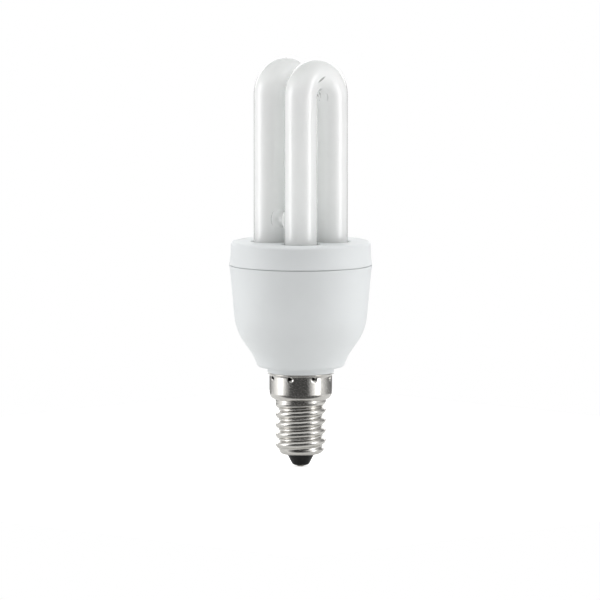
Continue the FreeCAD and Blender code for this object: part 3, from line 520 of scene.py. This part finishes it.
def leg_places():
    """Where the four legs stand, as x and y."""
    offset = bpy.context.scene.lamp_tube_sizes.leg_offset
    return [(-offset, -offset), (offset, -offset), (-offset, offset), (offset, offset)]


def add_u_tube(bm, tube, spring, y):
    """One U: a ring of edges taken up a leg, round the arch and down the other leg."""
    radius = tube.diameter / 2
    start = Matrix.Translation((tube.leg_offset, y, tube.end_height + tube.end_rounding))
    ring = bmesh.ops.create_circle(bm, segments=tube.faces, radius=radius, matrix=start)["verts"]
    edges = list(dict.fromkeys(e for v in ring for e in v.link_edges))
    round_leg_end(bm, edges, tube)
    edges = extrude_edges(bm, edges, (0, 0, spring - tube.end_height - tube.end_rounding))
    turned = bmesh.ops.spin(bm, geom=edges, cent=(0, y, spring), axis=(0, -1, 0), angle=math.pi,
                            steps=tube.faces // 2)["geom_last"]
    edges = [e for e in turned if isinstance(e, bmesh.types.BMEdge)]
    edges = extrude_edges(bm, edges, (0, 0, tube.end_height + tube.end_rounding - spring))
    round_leg_end(bm, edges, tube)


def extrude_edges(bm, edges, shift):
    """Extrude edges by a shift, and give the new ones."""
    made = bmesh.ops.extrude_edge_only(bm, edges=edges)["geom"]
    verts = [g for g in made if isinstance(g, bmesh.types.BMVert)]
    bmesh.ops.translate(bm, verts=verts, vec=shift)
    return [g for g in made if isinstance(g, bmesh.types.BMEdge)]


def round_leg_end(bm, edges, tube):
    """Close a leg's lower end with a rounded edge and a flat bottom."""
    radius = tube.diameter / 2
    rounding = tube.end_rounding
    steps = 6
    before = 0.0
    scale = radius
    for index in range(1, steps + 1):
        angle = math.pi / 2 * index / steps
        drop = rounding * math.sin(angle)
        edges = extrude_edges(bm, edges, (0, 0, before - drop))
        verts = list(dict.fromkeys(v for e in edges for v in e.verts))
        centre = sum((v.co for v in verts), Vector()) / len(verts)
        size = radius - rounding * (1 - math.cos(angle))
        bmesh.ops.scale(bm, verts=verts, vec=(size / scale, size / scale, 1),
                        space=Matrix.Translation(-centre))
        before = drop
        scale = size
    bmesh.ops.edgeloop_fill(bm, edges=edges)


def bridge_tool(tube):
    """Glass bridge between the two left legs: a waist that flares into both, up to their axes."""
    radius = tube.diameter / 2
    waist = tube.bridge_diameter / 2
    half = tube.leg_offset - radius + tube.bridge_sink
    tilt = math.asin(half / tube.bridge_root)
    side = arc((waist + tube.bridge_root, 0), tube.bridge_root, math.pi + tilt, math.pi - tilt, 20)
    outline = [(0, -tube.leg_offset), (waist, -tube.leg_offset), (waist, -half - waist)] + side
    outline += [(waist, half + waist), (waist, tube.leg_offset), (0, tube.leg_offset)]
    bm = spun(outline, tube.faces)
    bmesh.ops.rotate(bm, verts=bm.verts, cent=(0, 0, 0), matrix=Matrix.Rotation(math.pi / 2, 3, "X"))
    bmesh.ops.translate(bm, verts=bm.verts, vec=(-tube.leg_offset, 0, tube.bridge_height))
    return bm


def housing_side(body, inset, steps):
    """The housing's side from its foot to its rim, moved in by an inset: hollow foot, shoulder, rim."""
    widening = body.taper_top_radius - body.taper_bottom_radius
    lean = math.atan(widening / (body.taper_top - body.taper_bottom))
    cone, foot = body.cone_angle, body.foot_angle
    shoulder_r = body.taper_bottom_radius - body.shoulder_arc * math.cos(lean)
    shoulder_z = body.taper_bottom + body.shoulder_arc * math.sin(lean)
    cone_r = shoulder_r + body.shoulder_arc * math.cos(cone)
    cone_z = shoulder_z - body.shoulder_arc * math.sin(cone)
    foot_z = body.bottom + body.foot_corner * (1 - math.sin(foot))
    drop = cone_z - foot_z - body.foot_arc * (math.sin(cone) - math.sin(foot))
    centre = (cone_r - drop * math.tan(cone) + body.foot_arc * math.cos(cone),
              cone_z - drop - body.foot_arc * math.sin(cone))
    rim = (body.taper_top_radius + body.rim_arc * math.cos(lean),
           body.taper_top - body.rim_arc * math.sin(lean))
    rim_lean = math.asin(math.sin(lean) + (body.seam_height - body.taper_top) / body.rim_arc)
    return (arc(centre, body.foot_arc + inset, math.pi - foot, math.pi - cone, steps)
            + arc((shoulder_r, shoulder_z), body.shoulder_arc - inset, -cone, -lean, steps)
            + arc(rim, body.rim_arc + inset, math.pi - lean, math.pi - rim_lean, steps // 2))


def thread_radius(cap, angle, height):
    """Radius of the rolled thread's outer face: tangent arcs that follow a right-hand helix."""
    half = cap.pitch / 2
    bend = (cap.depth ** 2 + half ** 2) / (4 * cap.depth)
    turns = (height - cap.crest_height) / cap.pitch - (angle - cap.crest_angle) / math.tau
    from_crest = abs(turns - round(turns)) * cap.pitch
    if from_crest < half / 2:
        rise = cap.depth - bend + math.sqrt(bend ** 2 - from_crest ** 2)
    else:
        rise = bend - math.sqrt(bend ** 2 - (half - from_crest) ** 2)
    start = smooth_step((height - cap.thread_start) / (cap.thread_full - cap.thread_start))
    end = smooth_step((height - cap.thread_end) / cap.thread_merge + 1)
    return (cap.major_radius - cap.depth + rise * start) * (1 - end) + cap.major_radius * end


def smooth_step(value):
    """0 up to 0 and 1 from 1 on, with a soft rise between."""
    value = min(max(value, 0.0), 1.0)
    return value * value * (3 - 2 * value)


def stake_depth(cap, vert):
    """How far a punch mark presses a point of the skirt inwards."""
    radius = math.hypot(vert.co.x, vert.co.y)
    angle = math.atan2(vert.co.y, vert.co.x)
    step = math.tau / cap.stake_count
    off = (angle - cap.stake_first + step / 2) % step - step / 2
    across = math.hypot(off * radius, vert.co.z - cap.stake_height)
    if across >= cap.stake_radius:
        return 0.0
    face = radius + cap.stake_offset - math.sqrt(cap.stake_radius ** 2 - across ** 2)
    return max(radius - face, 0.0)


def upright(radius, low, high):
    """Points up an upright line, in rows of the cap's mesh, without its first point."""
    count = int((high - low) / CAP_ROW)
    return [(radius, low + (high - low) * (i + 1) / count) for i in range(count)]


def cap_outline(cap):
    """The cap's outer meridian from its lip to its rim; the thread is plain at its root."""
    minor = cap.major_radius - cap.depth
    low = CAP_LOW.z
    top = cap.skirt_bottom
    points = [(cap.lip_radius, low)]
    points += arc((minor - cap.corner, low + cap.corner), cap.corner, -math.pi / 2, 0, 12)
    points += upright(minor, low + cap.corner, top)
    inner = cap.skirt_radius - cap.skirt_corner
    points += arc((inner, top + cap.skirt_corner), cap.skirt_corner, -math.pi / 2, 0, 14)
    spread_out = cap.rim_radius - cap.skirt_radius
    flare = (cap.rim_flare ** 2 + spread_out ** 2) / (2 * spread_out)
    flare_low = CAP_HIGH.z - cap.rim_flare
    points += upright(cap.skirt_radius, top + cap.skirt_corner, flare_low)
    end = math.asin(cap.rim_flare / flare)
    points += arc((cap.skirt_radius + flare, flare_low), flare, math.pi, math.pi - end, 6)[1:]
    return points


class LAMP_OT_tubes(Operator):
    """Model the two bent tubes with their bridge and sealed ends"""

    bl_idname = "lamp.tubes"
    bl_label = "Glass tubes"

    def execute(self, context):
        tube = context.scene.lamp_tube_sizes
        spring = TUBE_HIGH.z - tube.leg_offset - tube.diameter / 2
        bm = bmesh.new()
        add_u_tube(bm, tube, spring, -tube.leg_offset)
        add_u_tube(bm, tube, spring, tube.leg_offset)
        glass = show(bm, "glass_tubes", coated_glass(spring), "discharge_tube", 60)
        combine(glass, bridge_tool(tube), "UNION")
        smooth(glass, 60)
        return {"FINISHED"}


class LAMP_OT_lid(Operator):
    """Model the lid with its four sockets"""

    bl_idname = "lamp.lid"
    bl_label = "Lid"

    def execute(self, context):
        body = context.scene.lamp_body_sizes
        top = LID_HIGH.z
        rim_radius = housing_side(body, 0, 2)[-1][0]
        flare = rim_radius - body.side_radius
        flare_radius = (body.flare_height ** 2 + flare ** 2) / (2 * flare)
        flare_angle = math.asin(body.flare_height / flare_radius)
        half = body.seam_width / 2
        shadow = rim_radius - body.seam_depth
        corner = (body.side_radius - body.corner, top - body.corner)
        inside = body.spigot_radius - body.spigot_wall
        seam = body.seam_height
        spigot_end = seam - body.spigot_depth
        outline = [(0, top - body.plate), (inside, top - body.plate), (inside, spigot_end),
                   (body.spigot_radius, spigot_end), (body.spigot_radius, seam), (shadow, seam),
                   (shadow, seam + half)]
        side = arc((body.side_radius + flare_radius, seam + body.flare_height), flare_radius,
                   math.pi + flare_angle, math.pi, 24)
        side = [(r, z) for r, z in side if z >= seam + half]
        outline += [(side[0][0], seam + half)] + side
        outline += arc(corner, body.corner, 0, math.pi / 2, 10)
        outline += [(0, top)]
        bm = spun(outline, body.faces)
        lid = show(bm, "lid_moulding", moulded_polyester(), "tube_lid", 35)
        edge, radius, depth = body.socket_edge, body.socket_radius, body.socket_depth
        mouth = [(0, -2 * edge), (radius, -2 * edge), (radius, depth - edge)]
        mouth += arc((radius + edge, depth - edge), edge, math.pi, math.pi / 2, 8)
        mouth += [(radius + edge, depth + edge), (0, depth + edge)]
        outer = radius + body.socket_wall
        wall = [(0, 0), (outer, 0), (outer, depth - body.plate / 2), (0, depth - body.plate / 2)]
        for outline, operation in ((wall, "UNION"), (mouth, "DIFFERENCE")):
            for place in leg_places():
                moved = [(r, z + top - depth) for r, z in outline]
                combine(lid, spun(moved, body.socket_faces, cent=place), operation)
        smooth(lid, 35)
        weighted = lid.modifiers.new("flat_faces", "WEIGHTED_NORMAL")
        weighted.keep_sharp = True
        return {"FINISHED"}


def combine(piece, bm, operation):
    """Join a tool to a piece or cut it away, and apply it."""
    close_faces(bm)
    tool = make_object(bm, "tool")
    mesh = tool.data
    modifier = piece.modifiers.new("tool", "BOOLEAN")
    modifier.operation = operation
    modifier.solver = "EXACT"
    modifier.object = tool
    with bpy.context.temp_override(object=piece):
        bpy.ops.object.modifier_apply(modifier=modifier.name)
    bpy.data.objects.remove(tool)
    bpy.data.meshes.remove(mesh)


class LAMP_OT_housing(Operator):
    """Model the tapered housing with its collar and neck"""

    bl_idname = "lamp.housing"
    bl_label = "Housing"

    def execute(self, context):
        body = context.scene.lamp_body_sizes
        cap = context.scene.lamp_cap_sizes
        neck = cap.skirt_radius - cap.wall
        side = housing_side(body, 0, 28)
        seam = body.seam_height
        half = body.seam_width / 2
        side = [p for p in side if p[1] < seam - half]
        foot_radius = side[0][0] - body.foot_corner * math.cos(body.foot_angle)
        outline = [(neck - body.wall, cap.neck_end), (neck, cap.neck_end), (neck, CAP_HIGH.z),
                   (body.collar_radius - body.collar_chamfer, CAP_HIGH.z),
                   (body.collar_radius, CAP_HIGH.z + body.collar_chamfer), (body.collar_radius, body.bottom)]
        outline += arc((foot_radius, body.bottom + body.foot_corner), body.foot_corner, -math.pi / 2,
                       -body.foot_angle, 8)
        outline += side[1:]
        rim = side[-1][0]
        shadow = rim - body.seam_depth
        outline += [(rim, seam - half), (shadow, seam - half), (shadow, seam), (body.spigot_radius, seam)]
        floor = body.bottom + body.wall
        ledge = seam - body.spigot_depth
        inner = [p for p in housing_side(body, body.wall, 12) if floor < p[1] < ledge]
        outline += [(body.spigot_radius, ledge)] + inner[::-1]
        outline += [(inner[0][0], floor), (neck - body.wall, floor)]
        bm = spun(outline, body.faces, closed=True)
        show(bm, "housing_moulding", moulded_polyester(), "housing", 35)
        return {"FINISHED"}


class LAMP_OT_cap(Operator):
    """Model the rolled screw cap with its thread and punch marks"""

    bl_idname = "lamp.cap"
    bl_label = "Screw cap"

    def execute(self, context):
        cap = context.scene.lamp_cap_sizes
        bm = spun(cap_outline(cap), cap.faces)
        bmesh.ops.remove_doubles(bm, verts=bm.verts, dist=SAME_PLACE)
        minor = thread_radius(cap, 0.0, CAP_LOW.z)
        for vert in bm.verts:
            radius = math.hypot(vert.co.x, vert.co.y)
            if vert.co.z < cap.skirt_bottom + SAME_HEIGHT and radius < cap.major_radius:
                bulge = thread_radius(cap, math.atan2(vert.co.y, vert.co.x), vert.co.z) - minor
            else:
                bulge = -stake_depth(cap, vert)
            vert.co.xy *= (radius + bulge) / radius
        piece = show(bm, "screw_cap", plated_brass(), "cap_shell", 60)
        wall = piece.modifiers.new("sheet", "SOLIDIFY")
        wall.thickness = cap.wall
        wall.offset = -1.0
        return {"FINISHED"}


class LAMP_OT_contact(Operator):
    """Model the black glass and the solder bead of the centre contact"""

    bl_idname = "lamp.contact"
    bl_label = "Glass and contact"

    def execute(self, context):
        cap = context.scene.lamp_cap_sizes
        low = CAP_LOW.z
        # The glass: a flat end, rounded through most of a quarter turn, then the cone up to its brim.
        end = cap.bead_height
        outline = [(0, end), (cap.glass_flat, end)]
        run = cap.glass_end_radius - cap.glass_flat
        rise = cap.glass_end - end
        rounded, steps = 0.82, 8
        turns = [math.pi / 2 * (i + 1) / steps * rounded for i in range(steps)]
        outline += [(cap.glass_flat + run * math.sin(t) / math.sin(turns[-1]),
                     end + rise * (1 - math.cos(t)) / (1 - math.cos(turns[-1]))) for t in turns]
        brim_rise, brim_step = cap.wall * 0.15, 0.08 * MM
        outline += [(cap.glass_radius, low - brim_rise), (cap.glass_radius - brim_step, low),
                    (cap.lip_radius, low), (cap.lip_radius, low + cap.wall), (0, low + 2 * cap.wall)]
        glass = spun(outline, cap.glass_faces)
        show(glass, "cap_glass", pressed_black_glass(), "cap_insulator", 50)

        # The bead: a flat tip, rounded up to its brim, and a root inside the glass.
        run = cap.bead_radius - cap.bead_flat
        steps = 6
        turns = [math.pi / 2 * i / steps for i in range(1, steps + 1)]
        root_radius, root_height = cap.bead_radius * 0.6, cap.bead_height * 1.6
        bead = [(0, 0), (cap.bead_flat, 0)]
        bead += [(cap.bead_flat + run * math.sin(t), end * (1 - math.cos(t))) for t in turns]
        bead += [(root_radius, root_height), (0, root_height)]
        # Hand-dipped solder that froze slowly: pale, dull and a little uneven.
        solder = metal("dull_solder", colours().solder, 0.42, 0.5 * MM)
        show(spun(bead, cap.bead_faces), "contact_bead", solder, "contact_solder", 50)
        return {"FINISHED"}


def finishes():
    """Materials of the CAD pieces that stay, each with the starts of its nodes' names."""
    tint = colours()
    return (
        (poured_cement(), "cement_ring"),
        # Hot-dipped copper wire: silvery and slightly dull.
        (metal("tinned_copper_wire", tint.tinned, 0.34, 0.4 * MM), "choke_pins", "wrap_pin", "tube_lead"),
        # Wave-soldered joints: bright, as they froze.
        (metal("shiny_solder", tint.solder, 0.25, 0.4 * MM), "solder_joints"),
        # Enamelled wire wound in layers: reddish brown with dark bands.
        (metal("enamelled_copper_winding", tint.copper, 0.3, 0.35 * MM, 0.6), "choke_winding",
         "feedback_winding"),
        # Drawn brass sheet: yellow, with small stains.
        (metal("drawn_brass_eyelet", tint.brass, 0.3, 0.5 * MM), "contact_eyelet"),
        # Transfer-moulded epoxy: black and matt.
        (dielectric("moulded_black_epoxy", tint.resin, 0.55, 0.4 * MM), "choke_bobbin", "transistor",
         "diode"),
        # Dipped epoxy: a smooth dark red skin.
        (dielectric("dipped_red_epoxy", tint.film_resin, 0.28, 1.5 * MM), "tube_capacitor",
         "coupling_capacitor"),
        # Sprayed lacquer: tan with a soft gloss.
        (dielectric("tan_resistor_lacquer", tint.lacquer, 0.4, 0.8 * MM), "start_resistor", "base_resistor",
         "fuse_resistor"),
        # Pressed and sintered powder: charcoal, dry and grainy.
        (dielectric("sintered_ferrite", tint.ferrite, 0.7, 0.3 * MM, 0.7, 0.05 * MM), "choke_core",
         "feedback_core"),
        # Extruded sleeve: pale and satin.
        (dielectric("wire_insulation", tint.insulation, 0.45, 1.0 * MM), "phase_wire", "neutral_wire"),
        # Pressed paper and resin: brown with a mottled face.
        (dielectric("pressed_paper_laminate", tint.laminate, 0.6, 0.6 * MM, 0.8), "circuit_board"),
        # Heat-shrunk film: dark blue and glossy.
        (dielectric("shrunk_can_sleeve", tint.sleeve, 0.25, 2.0 * MM), "filter_capacitor"),
        # Tinted glass bead: orange with a sharp gloss.
        (dielectric("tinted_diode_glass", tint.diode_glass, 0.12, 1.0 * MM), "trigger_diode"),
    )


class LAMP_OT_inside(Operator):
    """Give the cement, the contact's eyelet and the ballast inside their materials"""

    bl_idname = "lamp.inside"
    bl_label = "Cement and ballast"

    def execute(self, context):
        for material, *starts in finishes():
            for node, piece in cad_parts.items():
                if node.startswith(tuple(starts)):
                    piece.data.materials.clear()
                    piece.data.materials.append(material)
        return {"FINISHED"}


class LAMP_OT_stage(Operator):
    """Set the floor, the softboxes, the room and the camera"""

    bl_idname = "lamp.stage"
    bl_label = "Studio"

    def execute(self, context):
        studio = context.scene.lamp_studio
        front = Vector((math.sin(studio.azimuth), -math.cos(studio.azimuth), 0))
        add_floor(studio, front)
        for side in ("left", "right"):
            way = Matrix.Rotation(getattr(studio, side + "_turn"), 3, "Z") @ front
            width, shine = getattr(studio, side + "_width"), getattr(studio, side + "_level")
            add_softbox("softbox_" + side, way, studio, width, shine)
        set_world(context.scene, studio, front)
        add_camera(context.scene, studio, front)
        context.scene.view_settings.view_transform = "Standard"
        return {"FINISHED"}


def add_floor(studio, front):
    """Pale floor at the contact's height, white for the lens but for the lamp's shadow. Metal sees a dark
    card on its front part and a faint gleam on the rest."""
    bm = bmesh.new()
    bmesh.ops.create_grid(bm, x_segments=1, y_segments=1, size=studio.floor_size / 2)
    floor = make_object(bm, "floor")
    base = colours().floor
    card_share = 0.10
    card_low, card_high = studio.card_start * 0.6, studio.card_start * 1.4
    material, tree, shader, place = surface("painted_studio_floor", base, roughness=0.8,
                                            emission_color=(1.0, 1.0, 1.0, 1.0))
    rays = add(tree, "LightPath").outputs
    glossy = rays["Is Glossy Ray"]
    away = add(tree, "VectorMath", {0: place, 1: front}, operation="DOT_PRODUCT")
    card = add(tree, "MapRange", {"Value": away, "From Min": card_low, "From Max": card_high}, **SOFT)
    mirrored = add(tree, "Math", {0: card, 1: glossy}, operation="MULTIPLY")
    dark = tuple(c * card_share for c in base)
    paint = add(tree, "Mix", {"Factor": mirrored, "A": (*base, 1.0), "B": (*dark, 1.0)}, data_type="RGBA")
    bright = add(tree, "Math", {0: 1.0, 1: card}, operation="SUBTRACT")
    shiny = add(tree, "Math", {0: glossy, 1: studio.floor_gleam}, operation="MULTIPLY")
    near = add(tree, "Math", {0: bright, 1: shiny}, operation="MULTIPLY")
    seen = add(tree, "Math", {0: near, 1: rays["Is Camera Ray"]}, operation="MAXIMUM")
    lift = add(tree, "Math", {0: seen, 1: studio.floor_lift}, operation="MULTIPLY")
    fill(shader, {"Base Color": paint, "Emission Strength": lift})
    floor.data.materials.append(material)


def add_softbox(name, way, studio, width, shine):
    """Upright softbox that faces the lamp. Shiny pieces don't see it: the world shows it to them."""
    box = bpy.data.lights.new(name, "AREA")
    box.shape = "RECTANGLE"
    box.size = width
    box.size_y = studio.box_height
    box.energy = shine * math.pi * width * studio.box_height
    lift = studio.box_height * 0.36
    holder = bpy.data.objects.new(name, box)
    holder.location = way * studio.box_distance + Vector((0, 0, lift))
    holder.rotation_mode = "QUATERNION"
    holder.rotation_quaternion = (-way).to_track_quat("-Z", "Y")
    holder.visible_glossy = False
    bpy.context.collection.objects.link(holder)


def set_world(scene, studio, front):
    """White for the lens; soft light from the wall behind and from above; and, for shiny pieces, the room."""
    world = bpy.data.worlds.new("studio_room")
    scene.world = world
    world.use_nodes = True
    tree = world.node_tree
    tree.nodes.clear()
    side = Vector((-front.y, front.x, 0))
    way = add(tree, "TexCoord").outputs["Generated"]
    height = add(tree, "SeparateXYZ", {0: way}).outputs["Z"]
    ahead = add(tree, "VectorMath", {0: way, 1: front}, operation="DOT_PRODUCT")
    across = add(tree, "VectorMath", {0: way, 1: side}, operation="DOT_PRODUCT")

    # The mirrored room, by the turn round the lamp.
    bearing = add(tree, "Math", {0: across, 1: ahead}, operation="ARCTAN2")
    share = add(tree, "Math", {0: bearing, 1: 1 / math.tau, 2: 0.5}, operation="MULTIPLY_ADD")
    ring = add(tree, "ValToRGB", {"Fac": share})
    top = max(shine for _, shine in MIRRORED)
    stops = ring.color_ramp.elements
    while len(stops) < len(MIRRORED):
        stops.new(0.5)
    for stop, (degrees, shine) in zip(stops, MIRRORED):
        stop.position = degrees / 360 + 0.5
        stop.color = (shine / top, shine / top, shine / top, 1.0)

    # A dark curtain ahead above the horizon, a ceiling, and a pale wall behind.
    curtain_share = 0.85
    lens_side = add(tree, "MapRange", {"Value": ahead, "From Min": 0.5, "From Max": 0.8,
                                       "To Max": curtain_share * top}, **SOFT)
    lens_high = add(tree, "MapRange", {"Value": height, "From Min": -0.07, "From Max": 0.05}, **SOFT)
    curtain = add(tree, "Math", {0: lens_side, 1: lens_high}, operation="MULTIPLY")
    left_over = add(tree, "Math", {0: top, 1: curtain}, operation="SUBTRACT")
    walls = add(tree, "Math", {0: ring, 1: left_over}, operation="MULTIPLY")
    upward = add(tree, "MapRange", {"Value": height, "From Min": 0.3, "From Max": 0.65}, **SOFT)
    above = add(tree, "MapRange", {"Value": ahead, "From Min": -0.4, "From Max": 0.1, "To Min": 0.45,
                                   "To Max": studio.mirror_above})
    room = add(tree, "Mix", {"Factor": upward, "A": walls, "B": above})
    behind = add(tree, "MapRange", {"Value": ahead, "From Min": -0.9, "From Max": -0.6, "To Min": 1.0,
                                    "To Max": 0.0}, **SOFT)
    risen = add(tree, "MapRange", {"Value": height, "From Min": -0.02, "From Max": 0.08}, **SOFT)
    pale = add(tree, "Math", {0: behind, 1: risen}, operation="MULTIPLY")
    mirrored = add(tree, "Mix", {"Factor": pale, "A": room, "B": studio.mirror_behind})

    # The soft light, and who sees what.
    around = add(tree, "MapRange", {"Value": ahead, "From Min": -0.5, "From Max": 0.3,
                                    "To Min": studio.backdrop, "To Max": studio.ambient}, **SOFT)
    ceiling = add(tree, "MapRange", {"Value": height, "From Min": 0.1, "From Max": 0.9}, **SOFT)
    soft = add(tree, "Mix", {"Factor": ceiling, "A": around, "B": studio.overhead})
    rays = add(tree, "LightPath").outputs
    light = add(tree, "Mix", {"Factor": rays["Is Glossy Ray"], "A": soft, "B": mirrored})
    clear = add(tree, "Math", {0: rays["Is Camera Ray"], 1: rays["Is Transmission Ray"]}, operation="MAXIMUM")
    strength = add(tree, "Mix", {"Factor": clear, "A": light, "B": 1.0})
    shine = add(tree, "Background", {"Color": (1, 1, 1, 1), "Strength": strength})
    add(tree, "OutputWorld", {"Surface": shine})


def add_camera(scene, studio, front):
    lens = bpy.data.cameras.new("camera")
    lens.sensor_width = 36.0
    lens.lens = lens.sensor_width * studio.distance / studio.field
    lens.clip_start = 0.1
    lens.clip_end = 100.0
    camera = bpy.data.objects.new("camera", lens)
    back = front * math.cos(studio.elevation) + Vector((0, 0, math.sin(studio.elevation)))
    side = Vector((-front.y, front.x, 0))
    camera.location = Vector((0, 0, studio.aim_height)) - side * studio.aim_side + back * studio.distance
    camera.rotation_mode = "QUATERNION"
    camera.rotation_quaternion = (-back).to_track_quat("-Z", "Y")
    bpy.context.collection.objects.link(camera)
    scene.camera = camera


class LAMP_PT_panel(Panel):
    """Lists the lamp's pieces and its settings"""

    bl_idname = "LAMP_PT_panel"
    bl_label = "Energy saving bulb"
    bl_space_type = "VIEW_3D"
    bl_region_type = "UI"
    bl_category = "Lamp"

    def draw(self, context):
        for operator in PIECES:
            self.layout.operator(operator.bl_idname)
        for name in GROUPS:
            group = getattr(context.scene, name)
            box = self.layout.box()
            for key in group.__annotations__:
                box.prop(group, key)


PIECES = (LAMP_OT_tubes, LAMP_OT_lid, LAMP_OT_housing, LAMP_OT_cap, LAMP_OT_contact, LAMP_OT_inside,
          LAMP_OT_stage)
GROUPS = {
    "lamp_tube_sizes": LampTubeSizes,
    "lamp_body_sizes": LampBodySizes,
    "lamp_cap_sizes": LampCapSizes,
    "lamp_colours": LampColours,
    "lamp_studio": LampStudioSettings,
}


def register():
    for group in GROUPS.values():
        bpy.utils.register_class(group)
    for name, group in GROUPS.items():
        setattr(bpy.types.Scene, name, PointerProperty(type=group))
    for operator in PIECES:
        bpy.utils.register_class(operator)
    bpy.utils.register_class(LAMP_PT_panel)


def unregister():
    bpy.utils.unregister_class(LAMP_PT_panel)
    for operator in reversed(PIECES):
        bpy.utils.unregister_class(operator)
    for name, group in GROUPS.items():
        delattr(bpy.types.Scene, name)
        bpy.utils.unregister_class(group)


def main():
    register()
    bpy.ops.lamp.tubes()
    bpy.ops.lamp.lid()
    bpy.ops.lamp.housing()
    bpy.ops.lamp.cap()
    bpy.ops.lamp.contact()
    bpy.ops.lamp.inside()
    bpy.ops.lamp.stage()


if __name__ == "__main__":
    main()
